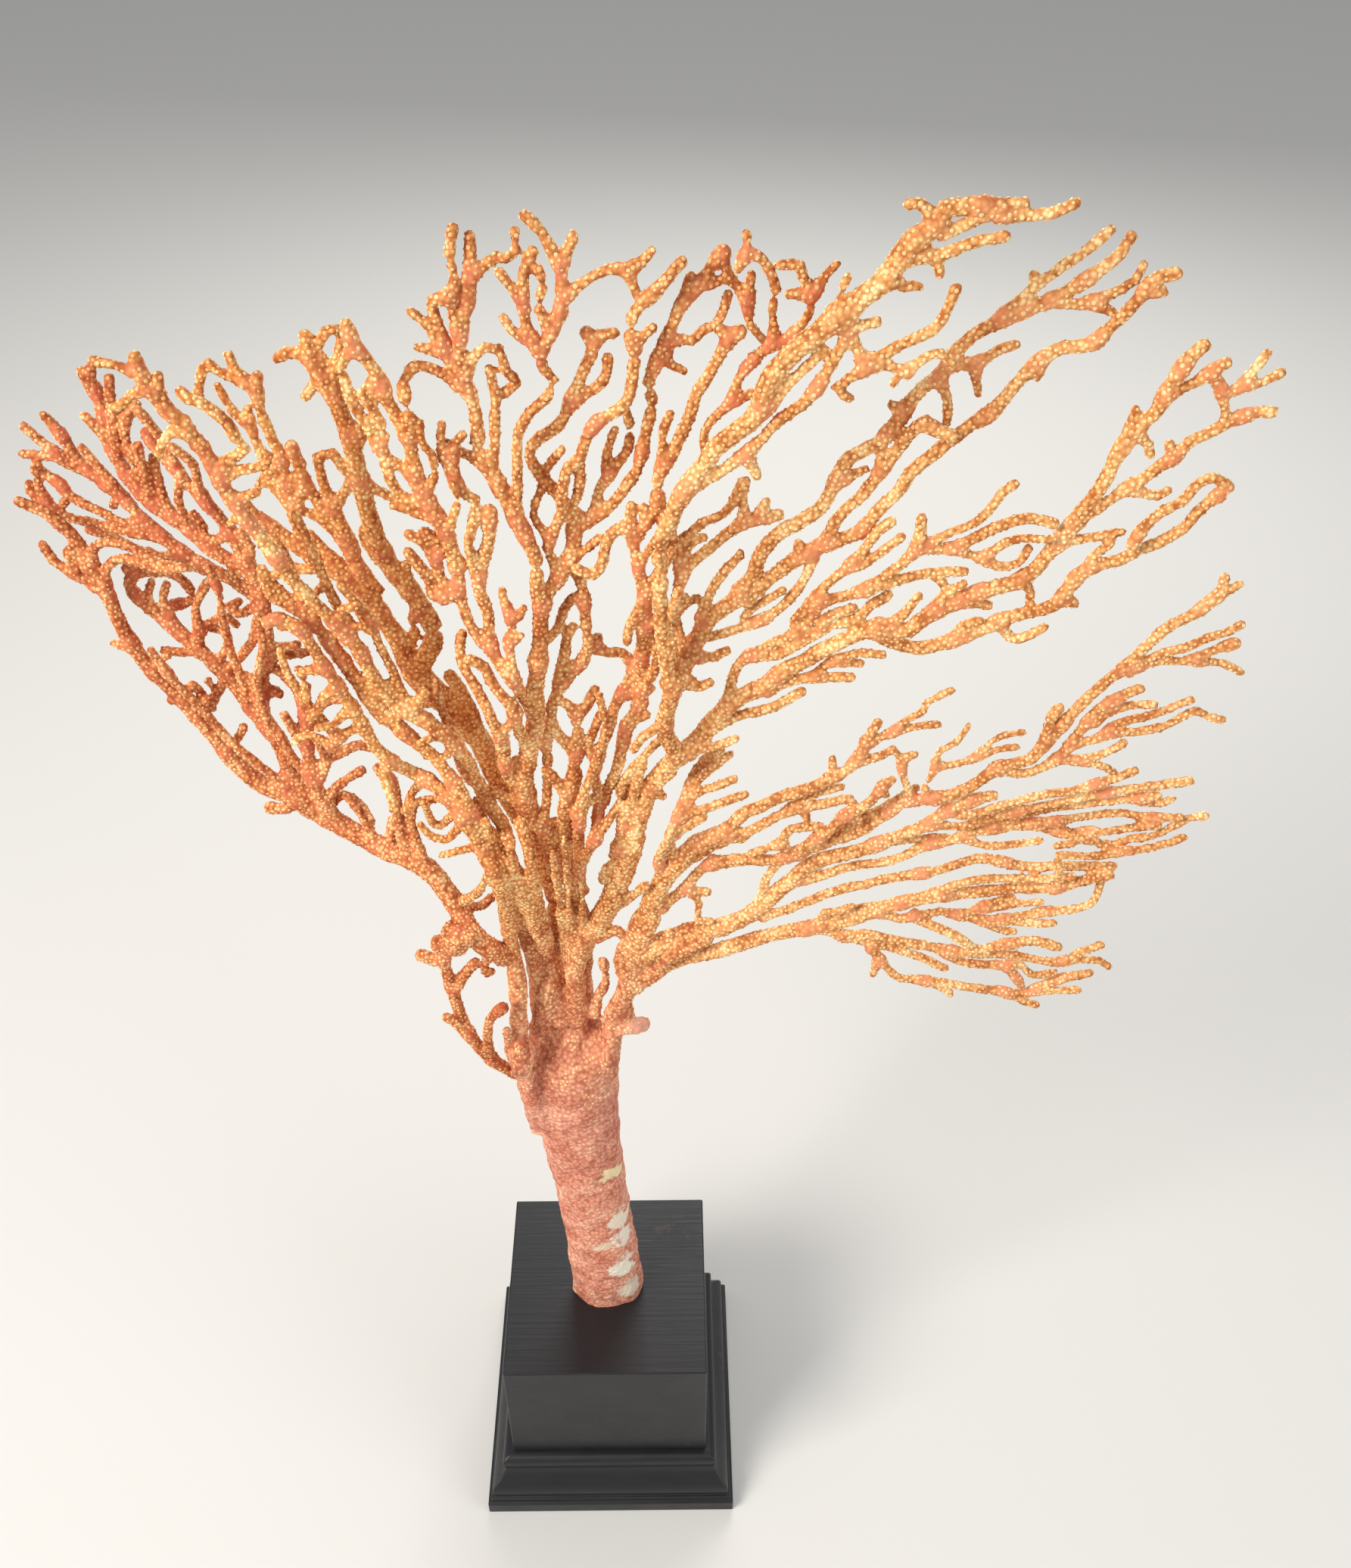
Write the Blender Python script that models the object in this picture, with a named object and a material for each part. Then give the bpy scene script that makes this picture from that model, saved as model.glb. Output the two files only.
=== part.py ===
# A dried sea fan that stands on a square black display plinth.
#
# The origin is the middle of the plinth's bottom face. +X is to the right, +Y points to the back
# and +Z is up. The fan grows in an upright sheet across X, with a second sheet behind its left wing.
#
# The fan is drawn from one viewpoint, in front of it and above it. Each branch is a route of
# positions in that view, chosen by hand, and a depth behind the plane of the trunk. A position and
# its depth give a point in space.

import math

import bmesh
import bpy
import numpy as np

# The viewpoint: where the eye stands, its turn, and the size of its view
EYE = (0.02076, -0.27147, 0.50766)
EYE_PITCH_DOWN = math.radians(40.18)
EYE_YAW = math.radians(-0.34)
EYE_ROLL = math.radians(-0.24)
VIEW_CENTRE = (892.5, 1036.0)
VIEW_DISTANCE = 2030.1

# The plinth
BLOCK_WIDTH = 0.062
BLOCK_HEIGHT = 0.0472
MOULDING_WIDTH = 0.0799
MOULDING_HEIGHT = 0.0235
MOULDING_FILLET = 0.0049
MOULDING_STEP_WIDTH = 0.0690
MOULDING_STEP_HEIGHT = 0.0032
MOULDING_BULGE = 0.0016
MOULDING_LEDGE = 0.0022
MOULDING_CURVE_STEPS = 5
EDGE_ROUNDING = 0.0008
PIECE_GAP = 0.0003

# The trunk: its widths from the foot to the fork, and its thickness from front to back
TRUNK_WIDTHS = (0.0225, 0.0205, 0.0203, 0.0210, 0.0218, 0.0232, 0.0248)
TRUNK_FLATNESS = 0.72
TRUNK_SIDES = 12
STRAND_COUNT = 5

# Branches
TWIG_THICKNESS = 0.0021
TIP_TAPER = 0.80
ROUTE_STEP = 0.0035
RING_TOLERANCE = 0.0013
LONGEST_RING_GAP = 0.030
SHORTEST_RING_GAP = 0.0022
FORK_LENGTH = 1.7
FORK_BLEND = 0.014
DEPTH_CLEARANCE = 0.0011
CLEARING_ROUNDS = 400
CORNER_REACH = 1.18
BRANCH_SIDES = 4
NEAR_STEPS = 4
PUSH_SHARE = 0.9
DEPTH_STIFFNESS = 0.09
DEPTH_RANGE = 0.018
TWIG_DEPTH_SHARE = 0.5
FINAL_SMOOTHING = 2
CLOSE_STEP = 0.0016
CLOSE_GAP = 0.0008
THINNEST = 0.4
STUB_LENGTH = 0.006
HEADING_REACH = 0.6 * ROUTE_STEP
PAIR_REACH = 1.25
SAME_PLACE = 1e-5

# Forks: how a branch leaves its parent, as shares of radii and lengths
LEAVING_RADII = 2.2
LEAVING_REACH = 0.004
SIDE_PREFERENCE = 1.4
TIP_FORK_SHARE = 1.2
SHARED_STRETCH = 0.4
BEND_MARGIN = 0.15
BEND_SAMPLES = 8
CLEAR_STEP = 0.0005
CLEAR_CHILD_SHARE = 0.9
LATEST_CLEAR = 0.7
LATEST_CUT = 0.8
FOOT_SHARE = 0.35
FIRST_FORK_HEIGHT = 0.008

# Finishes
PAINT_ROUGHNESS = 0.42
RIND_ROUGHNESS = 0.85

# Each limb: its name, the limb it springs from, the depth of its tip in mm, and its branches.
# A branch is one line. It may start with its thickness in mm at its foot and its tip. The first
# line is the limb's stem, and each other line springs from the nearest branch above it.
LIMBS = (
    ("trunk", None, 0, """
22.5 24.8: 804,1688 797,1650 784,1580 770,1510 761,1450 757,1388
4.6 3.8: 717,1375 718,1350 714,1315 706,1285 700,1262 692,1235 688,1210 684,1180 680,1150 676,1125
5.0 4.2: 735,1375 734,1345 735,1305 728,1280 721,1255 715,1225 710,1195 706,1165 703,1135
5.6 4.6: 757,1375 752,1340 750,1300 747,1265 744,1235 740,1205 737,1175 733,1145
5.6 4.8: 779,1375 777,1345 774,1305 775,1270 779,1240 792,1214 803,1190 814,1170
5.6 4.8: 804,1375 812,1355 822,1325 834,1298 838,1270 846,1243 858,1222 865,1200
4.0 3.4: 755,1325 758,1300 759,1260 756,1215 753,1175 748,1140
2.8: 786,1228 803,1210 824,1191 848,1174 858,1167
3.8 3.2: 774,1262 772,1230 769,1200 768,1180
4.4 4.2: 812,1356 830,1356 848,1355
"""),
    ("left_limb", "trunk", -3, """
5.2 4.0: 714,1490 703,1458 696,1432 689,1400 686,1365 685,1335 684,1300 680,1270 674,1240 670,1210
    664,1180 655,1152 642,1130 628,1105 615,1082
2.2: 655,1150 642,1160 632,1178 612,1190
"""),
    ("low_left_branch", "trunk", -2, """
3.6 3.0: 709,1440 692,1424 672,1413 655,1403 640,1390 622,1370 610,1345 601,1318 593,1292 587,1268
    590,1248 602,1232
2.6: 650,1400 645,1378 645,1355 652,1341 664,1332
"""),
    ("front_low_limb", "left_limb", -8, """
3.4 2.3: 600,1060 578,1040 548,1022 520,1008 497,988 481,962 465,935 447,907 428,880 411,852 393,828
    370,816 352,822
592,1052 572,1056 552,1060 534,1070
600,1084 578,1092 566,1076 560,1060
610,1112 590,1110 572,1106 556,1090
563,1030 548,1042 540,1058 538,1075
2.4: 515,1005 507,1022 515,1045 522,1070
466,936 450,948 438,960 420,962
448,908 430,918 420,935 410,950
430,882 410,885 395,890 402,905 405,925
"""),
    ("front_middle_limb", "left_limb", -5, """
3.4 2.2: 640,1126 624,1080 604,1045 583,1010 556,986 530,965 505,945 485,920 466,895 450,868 433,846
    412,822 390,803 365,793 352,775 346,752
505,945 520,960 545,975 565,1000
"""),
    ("front_upper_limb", "trunk", -9, """
3.8 2.8: 676,1122 668,1098 655,1076 640,1052 625,1022 608,993 585,968 558,950 532,935 507,915
    491,890 477,862 460,842 443,822 425,806 405,785 385,765 368,742
2.0: 600,985 590,975 570,975 552,985
"""),
    ("front_far_limb", "front_upper_limb", -10, """
2.9 2.3: 366,738 350,718 332,695 312,668 292,640 274,603 258,580 238,558 216,538 200,518 188,500
    178,472
292,632 315,622 335,618 350,615 357,600 348,594
2.4: 291,622 305,605 325,594 312,580 303,562 284,545 266,532 250,528 239,518
"""),
    ("plate_limb", "trunk", -3, """
4.0 6.4: 700,1120 690,1090 678,1065 662,1040 648,1012 638,985 622,962 597,935 572,912 548,888
2.8 3.2: 640,985 626,945 610,915 595,893
"""),
    ("plate_long_limb", "plate_limb", -6, """
4.6 2.4: 541,874 530,855 513,828 497,805 478,785 458,766 438,750 415,738 394,722 372,705 350,690
    332,676 320,660
500,808 515,820 530,835 545,850
2.2: 478,785 468,765 455,748 440,735 425,722 410,706
2.4: 436,750 405,752 385,750 365,760
"""),
    ("front_fan_limb", "plate_long_limb", -7, """
2.6 2.1: 415,736 398,708 390,690 387,668 380,640 371,605 358,577 347,548 338,520 325,503 310,488
    303,471
2.1: 330,507 308,500 288,490 275,478 264,500 263,528
2.0: 386,660 370,640 356,622 345,602 337,580 330,560 327,540
1.9: 314,570 308,545 298,528 288,510
"""),
    ("front_right_limb", "plate_long_limb", -7, """
3.0 2.2: 505,812 496,792 485,772 476,752 466,733 452,712 434,688 420,664 404,640 393,612 385,590
3.0 2.0: 466,733 455,700 442,672 430,645 423,622 418,604
2.2: 440,668 455,650 462,632 450,615 440,598 425,602
"""),
    ("tall_left_limb", "plate_limb", -2, """
4.6 3.4: 556,868 572,852 572,828 558,803 541,779 521,755 506,730 494,700 484,668 476,635 468,600
    460,568 450,543 439,520 424,495 410,470 404,447
2.4: 438,520 442,495 445,478 450,455 445,434 432,436 422,452 426,472
2.0: 521,755 500,742 486,722 478,700
"""),
    ("back_left_root", "left_limb", 16, """
5.6 4.8: 668,1262 645,1252 626,1236 611,1213 600,1192 585,1170 567,1150 540,1134 513,1124 488,1111
    450,1090 412,1070
2.6 2.2: 565,1148 553,1118 543,1085 548,1060
3.0: 540,1130 530,1100 524,1065 518,1035 500,1015
3.0: 502,1132 515,1112 520,1085
2.4: 497,1116 486,1092 470,1065 458,1052
2.4: 430,1080 440,1062 455,1050 475,1062 490,1085
2.4: 610,1210 618,1200 640,1195 650,1185
"""),
    ("back_outer_limb", "back_left_root", 26, """
4.8 2.6: 410,1066 398,1058 370,1046 340,1033 308,1004 288,978 270,956 250,934 233,914 200,884
    171,847 154,812 138,777 121,748 103,715 82,695 62,678 46,671 25,663
2.2: 121,746 125,722 145,716 170,722 195,735 220,746 245,750
2.2: 140,775 141,750 158,738 182,742 205,752 232,752
2.2: 130,776 112,765 86,752 70,740 57,720
2.4: 240,922 255,905 268,920 280,935
2.0: 262,945 275,925 285,915 275,900
"""),
    ("back_middle_limb", "back_left_root", 30, """
4.8 2.3: 432,1082 414,1050 392,1025 380,1005 368,978 350,955 344,928 345,897 352,862 351,831 346,790
    338,762 321,734 304,703 288,682 271,663 250,640 232,620 211,599 193,572
2.6: 344,965 325,930 308,900 298,880
2.4: 348,868 380,865 405,862
2.2: 343,800 330,805 315,812 300,800 315,795
2.2: 271,663 262,640 256,615 240,600 225,590
2.2: 232,620 222,592 205,570 192,552 180,540
"""),
    ("back_inner_limb", "back_left_root", 20, """
3.6 2.4: 452,1091 425,1055 412,1020 406,990 404,960 400,930 388,905 372,888 358,880
2.6: 412,1022 430,1005 450,995 472,985 492,988
2.4: 404,958 418,940 435,925 455,925
2.4: 412,1030 390,1005 375,985 368,968
2.4: 426,1062 445,1040 465,1025 478,1018
"""),
    ("back_loop_limb", "back_middle_limb", 34, """
3.6 2.2: 351,955 330,930 305,900 285,878 262,858 240,838 222,822 200,806 183,790 170,773 176,758
    200,755 225,757 245,770 255,790 240,797 222,802
2.4: 300,890 320,865 335,845 340,820
2.2: 262,857 262,830 258,805 268,780 285,760 300,765
2.2: 262,836 280,822 300,815 312,825
2.2: 285,878 300,855 298,835 280,830
2.0: 222,822 205,805 195,785 200,768
2.0: 232,830 225,812 215,790 220,772
"""),
    ("back_upper_limb", "back_middle_limb", 36, """
3.4 2.2: 338,762 318,748 298,738 275,722 250,700 225,682 200,664 180,645 163,620 150,595 143,570
    136,545 128,520 121,498 122,476 140,480
2.4: 166,628 158,600 152,575 150,550 145,525 145,500
2.4: 184,648 180,622 172,598 165,575 168,550 180,535
2.4: 228,685 215,655 208,630 203,605
"""),
    ("back_low_limb", "back_middle_limb", 38, """
3.2 2.2: 345,790 320,775 295,760 268,748 240,728 210,705 185,683 165,660 140,640 118,622 97,600
    85,580 70,562 58,549
2.2: 120,623 92,615 75,600 60,588 45,575 32,564
2.2: 190,690 165,692 140,680 115,668 92,655 80,640 62,628 47,616
2.2: 212,708 180,705 150,698 120,690 95,685 70,673 48,657 30,640
2.2: 240,730 210,735 180,725 150,708 120,699
2.2: 266,747 240,748 218,740 195,728
2.2: 165,660 150,640 125,612 108,592
"""),
    ("crown_left_limb", "trunk", -2, """
4.6 3.8: 738,1150 732,1132 726,1112 716,1090 700,1078 692,1055 692,1030 698,1005 700,985 706,965
    709,940 707,915 711,880
2.4: 716,1090 722,1060 724,1020 722,990 714,970
2.6 2.4: 668,1060 668,1020 668,985 660,968 675,958 678,945
2.4: 668,1012 664,992 659,972 650,948 638,925 624,900 612,880 607,855 610,838
2.6: 697,990 685,962 672,930 652,905 640,882 622,872
2.8: 708,955 690,918 674,895 656,872 647,845 645,812 635,785 633,760 640,735 646,705 647,675
2.4: 643,850 625,832 613,803 606,775 606,752
2.4: 633,762 622,738 620,712 626,685 628,660 612,650 600,632 596,602
2.0: 679,898 676,870 671,850 677,835 673,812 665,792 664,780
2.8 2.4: 604,775 588,790 570,785 566,765 550,742 540,730
2.4: 590,788 582,760 574,738 562,718 540,706
1.8: 600,632 585,605 582,580 584,560
"""),
    ("tall_fan_limb", "crown_left_limb", -4, """
3.2 2.4: 607,742 592,712 580,688 566,662 552,640 546,612 541,585 528,558 514,533 505,508 495,490
    480,471 466,455 458,428
3.0 2.6: 541,575 540,550 536,530 533,510
2.2: 549,628 533,618 515,608 500,590 490,570 475,548 462,522 455,500
2.0: 500,588 508,575 500,553 488,535 478,518
2.2: 566,662 548,662 530,655 515,632 508,610
1.8: 560,650 575,630 570,600 560,590 555,560
1.9: 590,700 600,680 605,655 597,640
"""),
    ("crown_tall_limb", "crown_left_limb", 2, """
3.6 2.3: 711,876 714,841 714,802 709,769 709,744 699,718 683,688 670,662 658,639 648,621 632,598
    630,560 625,530 612,505 610,470 608,440 617,400 622,350 620,312
2.2: 608,440 595,400 600,370 594,335 598,303
2.2: 612,508 600,490 590,465 583,440 570,404
2.2: 615,512 600,505 578,490 550,483 535,500
2.2: 648,621 654,590 653,560 655,530 650,500 647,488
2.0: 622,362 640,350 655,338 670,342 682,330 680,305
2.2: 612,500 622,480 640,458 660,462 668,490 683,505 665,520
2.2: 683,688 683,660 684,630 683,600 685,570 700,545 718,530 732,503 720,490 714,468 730,438 740,410
    743,385 742,352 758,312
2.2: 714,466 697,435 690,395 692,360 703,332
2.2: 743,354 728,330 715,305 693,284
2.0: 728,430 712,408 717,380 712,356
2.0: 745,393 765,378 790,362 815,353 830,360 840,388
"""),
    ("crown_middle_limb", "crown_tall_limb", 4, """
3.2 2.6: 716,800 722,785 740,760 752,735 760,705 766,688
2.8 2.2: 684,645 700,602 738,562 755,527 770,492 785,457 776,440
2.2: 757,530 790,510 802,492 804,473
2.4: 764,690 742,675 745,640 750,618 766,605 774,580 790,556 820,540 832,525 836,490 840,465 833,440
    838,412 860,390 880,370 900,346
2.2: 716,745 724,725 732,700 742,676
2.2: 757,706 757,672 766,642 766,610
2.4: 772,690 790,680 808,667 826,644 841,622 850,590 856,560 862,530 856,508 866,480 880,450 892,420
    905,395 925,375 940,352 955,334
2.2: 786,683 792,648 812,618 830,592 832,562 826,542
1.9: 700,705 704,680 714,650 722,620 742,594
2.0: 868,478 885,450 915,450 930,435 945,430 955,412 962,388
1.8: 926,376 960,370 975,380 988,400 990,428 1010,450
"""),
    ("crown_centre_limb", "trunk", 3, """
3.4 2.6: 748,1138 745,1100 745,1070 749,1048 757,1020 762,995 764,965 762,945 776,932 786,912
2.8 2.4: 724,990 730,960 730,930 742,905 757,888 770,872 777,850 774,820 772,795 766,765 755,750
2.2: 766,790 758,790 745,805 738,830 722,845
2.2: 768,876 750,885 748,865 748,845 757,828
"""),
    ("crown_column_limb", "trunk", 4, """
3.0 2.4: 768,1178 765,1150 764,1120 765,1098 767,1078 775,1060 790,1052 786,1030 788,1010 795,985
    804,965 812,935 823,912 833,893 835,875 822,862 800,862 785,853
2.2: 786,1000 778,985 785,965 792,945
2.4: 777,1150 782,1115 790,1080 792,1060
2.2: 785,1112 807,1080 820,1060 832,1040
2.8 3.0: 795,1058 812,1025 822,990 828,960 846,930
"""),
    ("crown_hanging_limb", "crown_column_limb", -2, """
3.0 2.4: 846,930 848,900 848,865 849,828 852,800 853,785 868,762 880,739 890,715 878,690 870,665
    868,640 876,615 888,600 900,575 912,548 920,520 935,498 950,470 965,445 979,437
2.2: 853,785 845,760 840,735 833,700 834,668
2.2: 853,785 845,805 832,825 828,846
2.0: 852,750 864,718 877,693
2.2: 855,825 875,815 888,802 898,778
2.2: 862,915 866,885 866,858
1.9: 877,612 875,575 885,547
2.4: 834,700 820,697 803,712 797,740 785,760 762,752
2.0: 878,690 895,660 915,625 930,602 930,572 946,550 966,530 976,500 995,476 1020,455 1045,450
2.0: 1022,455 1022,430 1020,410 1025,385 1018,360 1005,340 986,332 987,311
2.0: 1045,448 1070,412 1075,390 1060,365 1058,350 1032,350
"""),
    ("right_upper_root", "trunk", 2, """
5.0 4.4: 818,1162 826,1140 833,1115 841,1090 848,1068 858,1045 870,1026 884,1010 898,998
"""),
    ("right_upper_limb", "right_upper_root", 4, """
4.0 3.4: 897,996 884,980 878,958 884,930 892,905 902,885 912,862 926,835 940,815 958,802 975,788
2.2: 925,820 940,780 960,752 978,733
2.4: 890,862 893,820 895,785 905,755 925,735 950,715 975,695 1000,685 1030,680
2.0: 888,760 895,720 910,705 930,690 955,680 970,660 980,636
2.2: 880,955 862,965 848,975 838,990
"""),
    ("right_top_limb", "right_upper_limb", 6, """
3.4 2.3: 976,785 993,765 1003,737 1018,714 1039,699 1059,688 1082,673 1095,655 1105,630 1122,605
    1160,585 1180,565 1200,535 1220,510 1240,500 1260,470 1290,440 1320,425 1350,412 1380,400
    1410,385 1450,360 1480,335 1495,313
2.2: 1325,418 1360,385 1400,355 1430,335 1450,320 1468,304
2.0: 1390,398 1430,402 1470,388 1500,370 1511,351
2.2: 1256,480 1290,480 1320,462 1342,455
"""),
    ("right_crown_limb", "right_upper_limb", 8, """
3.0 4.2: 888,905 878,870 874,830 872,790 874,755 870,720 885,690 900,655 930,615 945,592 962,578
    990,558 1005,540 1012,512 1030,484 1055,460 1080,442 1100,424
2.4: 904,650 925,638 950,625 985,600 1010,576 1030,556 1060,535 1080,512 1092,492 1106,468 1118,448
2.0: 1016,538 1045,505 1070,480 1090,464
2.2: 1104,426 1125,445 1135,465 1142,482
2.2: 1140,478 1165,470 1190,455 1215,445 1240,430 1255,402 1263,383
2.0: 1143,484 1175,483 1195,492 1180,505 1172,525 1178,545
2.0: 1145,486 1120,502 1103,514 1122,526
2.0: 1195,494 1215,478 1240,466 1258,479
"""),
    ("right_crown_thick_limb", "right_crown_limb", 8, """
4.4 2.8: 1103,422 1125,405 1150,385 1170,368 1188,340 1210,315 1235,298 1252,273 1275,250 1300,226
    1325,221
2.2: 1240,308 1270,300 1300,285 1330,270 1345,250 1358,243
2.2: 1318,284 1350,285 1390,281 1421,269
2.2: 1198,342 1240,338 1280,322 1328,313
"""),
    ("right_long_limb", "right_upper_limb", 2, """
3.2 2.4: 980,795 1013,768 1039,747 1059,734 1082,722 1110,713 1141,699 1161,673 1190,645 1202,625
    1240,595 1265,575 1285,560 1310,545 1340,510 1370,480 1400,460 1440,455 1470,430 1500,400
    1515,380 1532,365 1555,361
2.6: 1092,716 1102,691 1120,671 1141,653 1165,620 1190,590 1215,562 1240,568 1258,576
2.2: 1075,728 1072,745 1060,770 1044,791 1026,808 1003,821 982,829 957,836 937,842
1.9: 1003,820 980,826 988,808 1013,793 1034,780
"""),
    ("right_middle_root", "right_upper_root", 0, """
4.0 3.4: 905,997 926,972 940,952 962,933 988,916 1013,903 1030,890 1059,875 1080,863 1100,853
    1118,844 1141,834 1160,828
2.4: 960,932 968,895 982,872 1003,860 1026,848 1054,836 1070,818 1082,795
2.4: 1003,878 1026,866 1054,852 1077,838 1097,826 1120,822 1137,814 1150,800 1173,786
2.2: 1053,836 1050,820 1062,806 1077,790 1095,770 1125,745 1143,724 1161,701 1178,689
2.0: 1125,748 1146,742 1168,727 1192,709
2.4: 1090,790 1115,788 1141,780 1158,770 1179,755 1199,739 1217,724 1258,725 1290,710 1320,695
    1360,685 1392,692
2.2: 1150,778 1180,770 1204,762 1240,756 1274,755
2.0: 1222,722 1250,706 1290,690 1310,670 1325,650 1341,640
2.0: 1262,724 1300,740 1320,748 1345,745 1358,725
1.9: 1300,738 1320,722 1345,712 1391,712
2.2: 1010,914 1040,902 1070,895 1124,895
2.0: 1078,895 1088,880 1105,872 1130,863 1166,865
2.4: 925,980 945,962 975,946 1010,938 1035,928 1059,914
2.2: 918,1000 944,987 971,976
"""),
    ("right_outer_limb", "right_middle_root", 0, """
3.6 2.8: 1166,840 1184,836 1202,832 1217,819 1236,808 1262,795 1300,780 1340,770 1365,755 1395,720
    1415,695 1430,675 1450,650 1465,625 1480,595 1500,570 1530,540 1547,508 1570,475 1590,457
2.2: 1540,522 1580,505 1600,490 1620,480
2.0: 1592,500 1620,520 1642,508 1660,485 1675,467
2.4: 1418,694 1460,665 1490,645 1520,625 1550,605 1570,585 1600,570 1630,555 1660,545 1681,545
2.0: 1400,716 1440,710 1482,703
"""),
    ("right_middle_limb", "right_middle_root", -2, """
3.2 2.2: 1156,832 1168,843 1188,850 1210,857 1240,851 1262,845 1300,830 1330,816 1380,805 1400,793
    1416,770 1440,750 1480,740 1505,725 1530,718 1560,700 1580,680 1600,660 1623,646 1604,631
    1582,640 1562,663 1536,676 1508,700 1496,720
2.2: 1320,822 1335,843 1356,841 1378,829
"""),
    ("right_low_root", "trunk", 0, """
4.8 4.4: 866,1190 872,1172 884,1152 900,1134 918,1117 945,1106
2.6: 872,1200 890,1186 908,1172 921,1154 938,1141
2.0: 912,1180 924,1195 920,1215 938,1217
2.4: 868,1128 885,1105 895,1080 905,1058 912,1035 922,1015 935,1003 952,990
2.2: 858,1158 870,1135 880,1115 888,1100
2.2: 905,1060 925,1045 945,1040 970,1029
2.2: 900,1085 925,1070 955,1060 985,1050
2.0: 912,1040 935,1020 965,997
"""),
    ("right_lower_limb", "right_low_root", -3, """
3.4 2.3: 947,1104 962,1096 975,1082 988,1072 1003,1067 1023,1057 1051,1047 1077,1039 1095,1029
    1112,1022 1128,1008 1138,996 1144,980 1153,965 1160,955
1.8: 1146,984 1161,975 1180,968 1210,960 1239,957
1.7: 1182,966 1200,950 1220,940 1225,928 1240,920 1257,912
2.0: 1132,1006 1150,1002 1166,998 1180,990 1189,1001 1209,997
2.4: 962,1098 985,1100 1030,1077 1059,1066 1090,1062 1122,1056 1133,1068
2.0: 1045,1068 1084,1047 1112,1040
"""),
    ("right_loop_limb", "right_low_root", -5, """
3.2 2.3: 938,1140 982,1136 1023,1136 1044,1131 1064,1118 1084,1105 1102,1093 1115,1077 1133,1070
    1153,1057 1166,1039 1178,1031
2.2: 1042,1130 1035,1112 1045,1095 1085,1092
2.8 2.4: 1050,1130 1090,1113 1135,1100 1160,1083 1195,1060 1228,1056
"""),
    ("right_far_limb", "right_loop_limb", -4, """
2.9 2.3: 1232,1056 1261,1049 1292,1034 1316,1015 1338,1009 1362,1003 1381,982 1399,963 1420,939
    1439,921 1460,902 1482,884 1506,862 1531,838 1552,823 1576,812 1598,795 1613,783 1618,764
2.0: 1488,888 1512,875 1537,862 1567,856 1592,844 1622,835 1640,826
2.0: 1498,884 1531,874 1567,873 1590,865 1610,856 1632,850
1.9: 1580,874 1613,876 1639,888
2.2: 1318,1026 1345,1023 1368,1018 1398,1002 1415,983 1430,962 1445,942 1463,930 1488,918 1506,910
2.0: 1442,955 1465,942 1491,932 1525,931
2.0: 1420,991 1451,976 1469,960 1494,951 1531,942 1552,933 1573,925
2.0: 1470,971 1500,967 1537,960 1561,948 1580,939 1598,948 1615,951
2.0: 1400,1014 1425,1005 1450,998 1469,991 1485,981
1.6: 1225,1052 1222,1040 1232,1022 1237,1005 1242,992 1265,980 1280,958
1.6: 1238,1018 1262,1010 1290,1000 1310,980 1330,971 1352,968
1.6: 1290,1000 1320,990 1345,987
"""),
    ("right_wing_limb", "trunk", -4, """
5.0 2.6: 848,1262 866,1254 886,1248 911,1239 937,1230 967,1220 988,1210 1008,1195 1026,1179
    1044,1164 1062,1148 1080,1137 1105,1131 1128,1126 1153,1118 1179,1108 1204,1098 1230,1088
    1252,1070 1290,1056 1312,1051
2.4: 1056,1162 1077,1160 1102,1151 1128,1144 1153,1141 1179,1136 1199,1128 1222,1118 1256,1111
    1284,1099 1318,1095 1357,1089 1395,1086
2.4: 1005,1210 1033,1204 1059,1194 1085,1184 1115,1174 1141,1169 1166,1162 1192,1158 1230,1152
    1256,1145 1290,1135 1326,1139 1354,1145 1402,1145 1430,1144 1471,1145
2.2: 1252,1070 1275,1078 1301,1072 1332,1062 1359,1055 1384,1049 1414,1046 1445,1037 1475,1028
    1499,1019
2.2: 1240,1092 1270,1092 1301,1083 1335,1075 1371,1066 1414,1058 1451,1049 1488,1043 1537,1037
    1572,1031
2.0: 1310,1094 1342,1079 1384,1069 1430,1063 1475,1058 1531,1051
2.0: 1395,1086 1430,1079 1475,1074 1521,1080 1559,1080
2.0: 1366,1089 1392,1098 1425,1099 1460,1099 1490,1095 1529,1091
2.0: 1400,1098 1420,1107 1445,1112 1467,1117 1495,1108 1523,1105 1551,1091 1570,1081 1602,1078
1.9: 1276,1106 1298,1117 1326,1117 1352,1114 1374,1110
"""),
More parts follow.
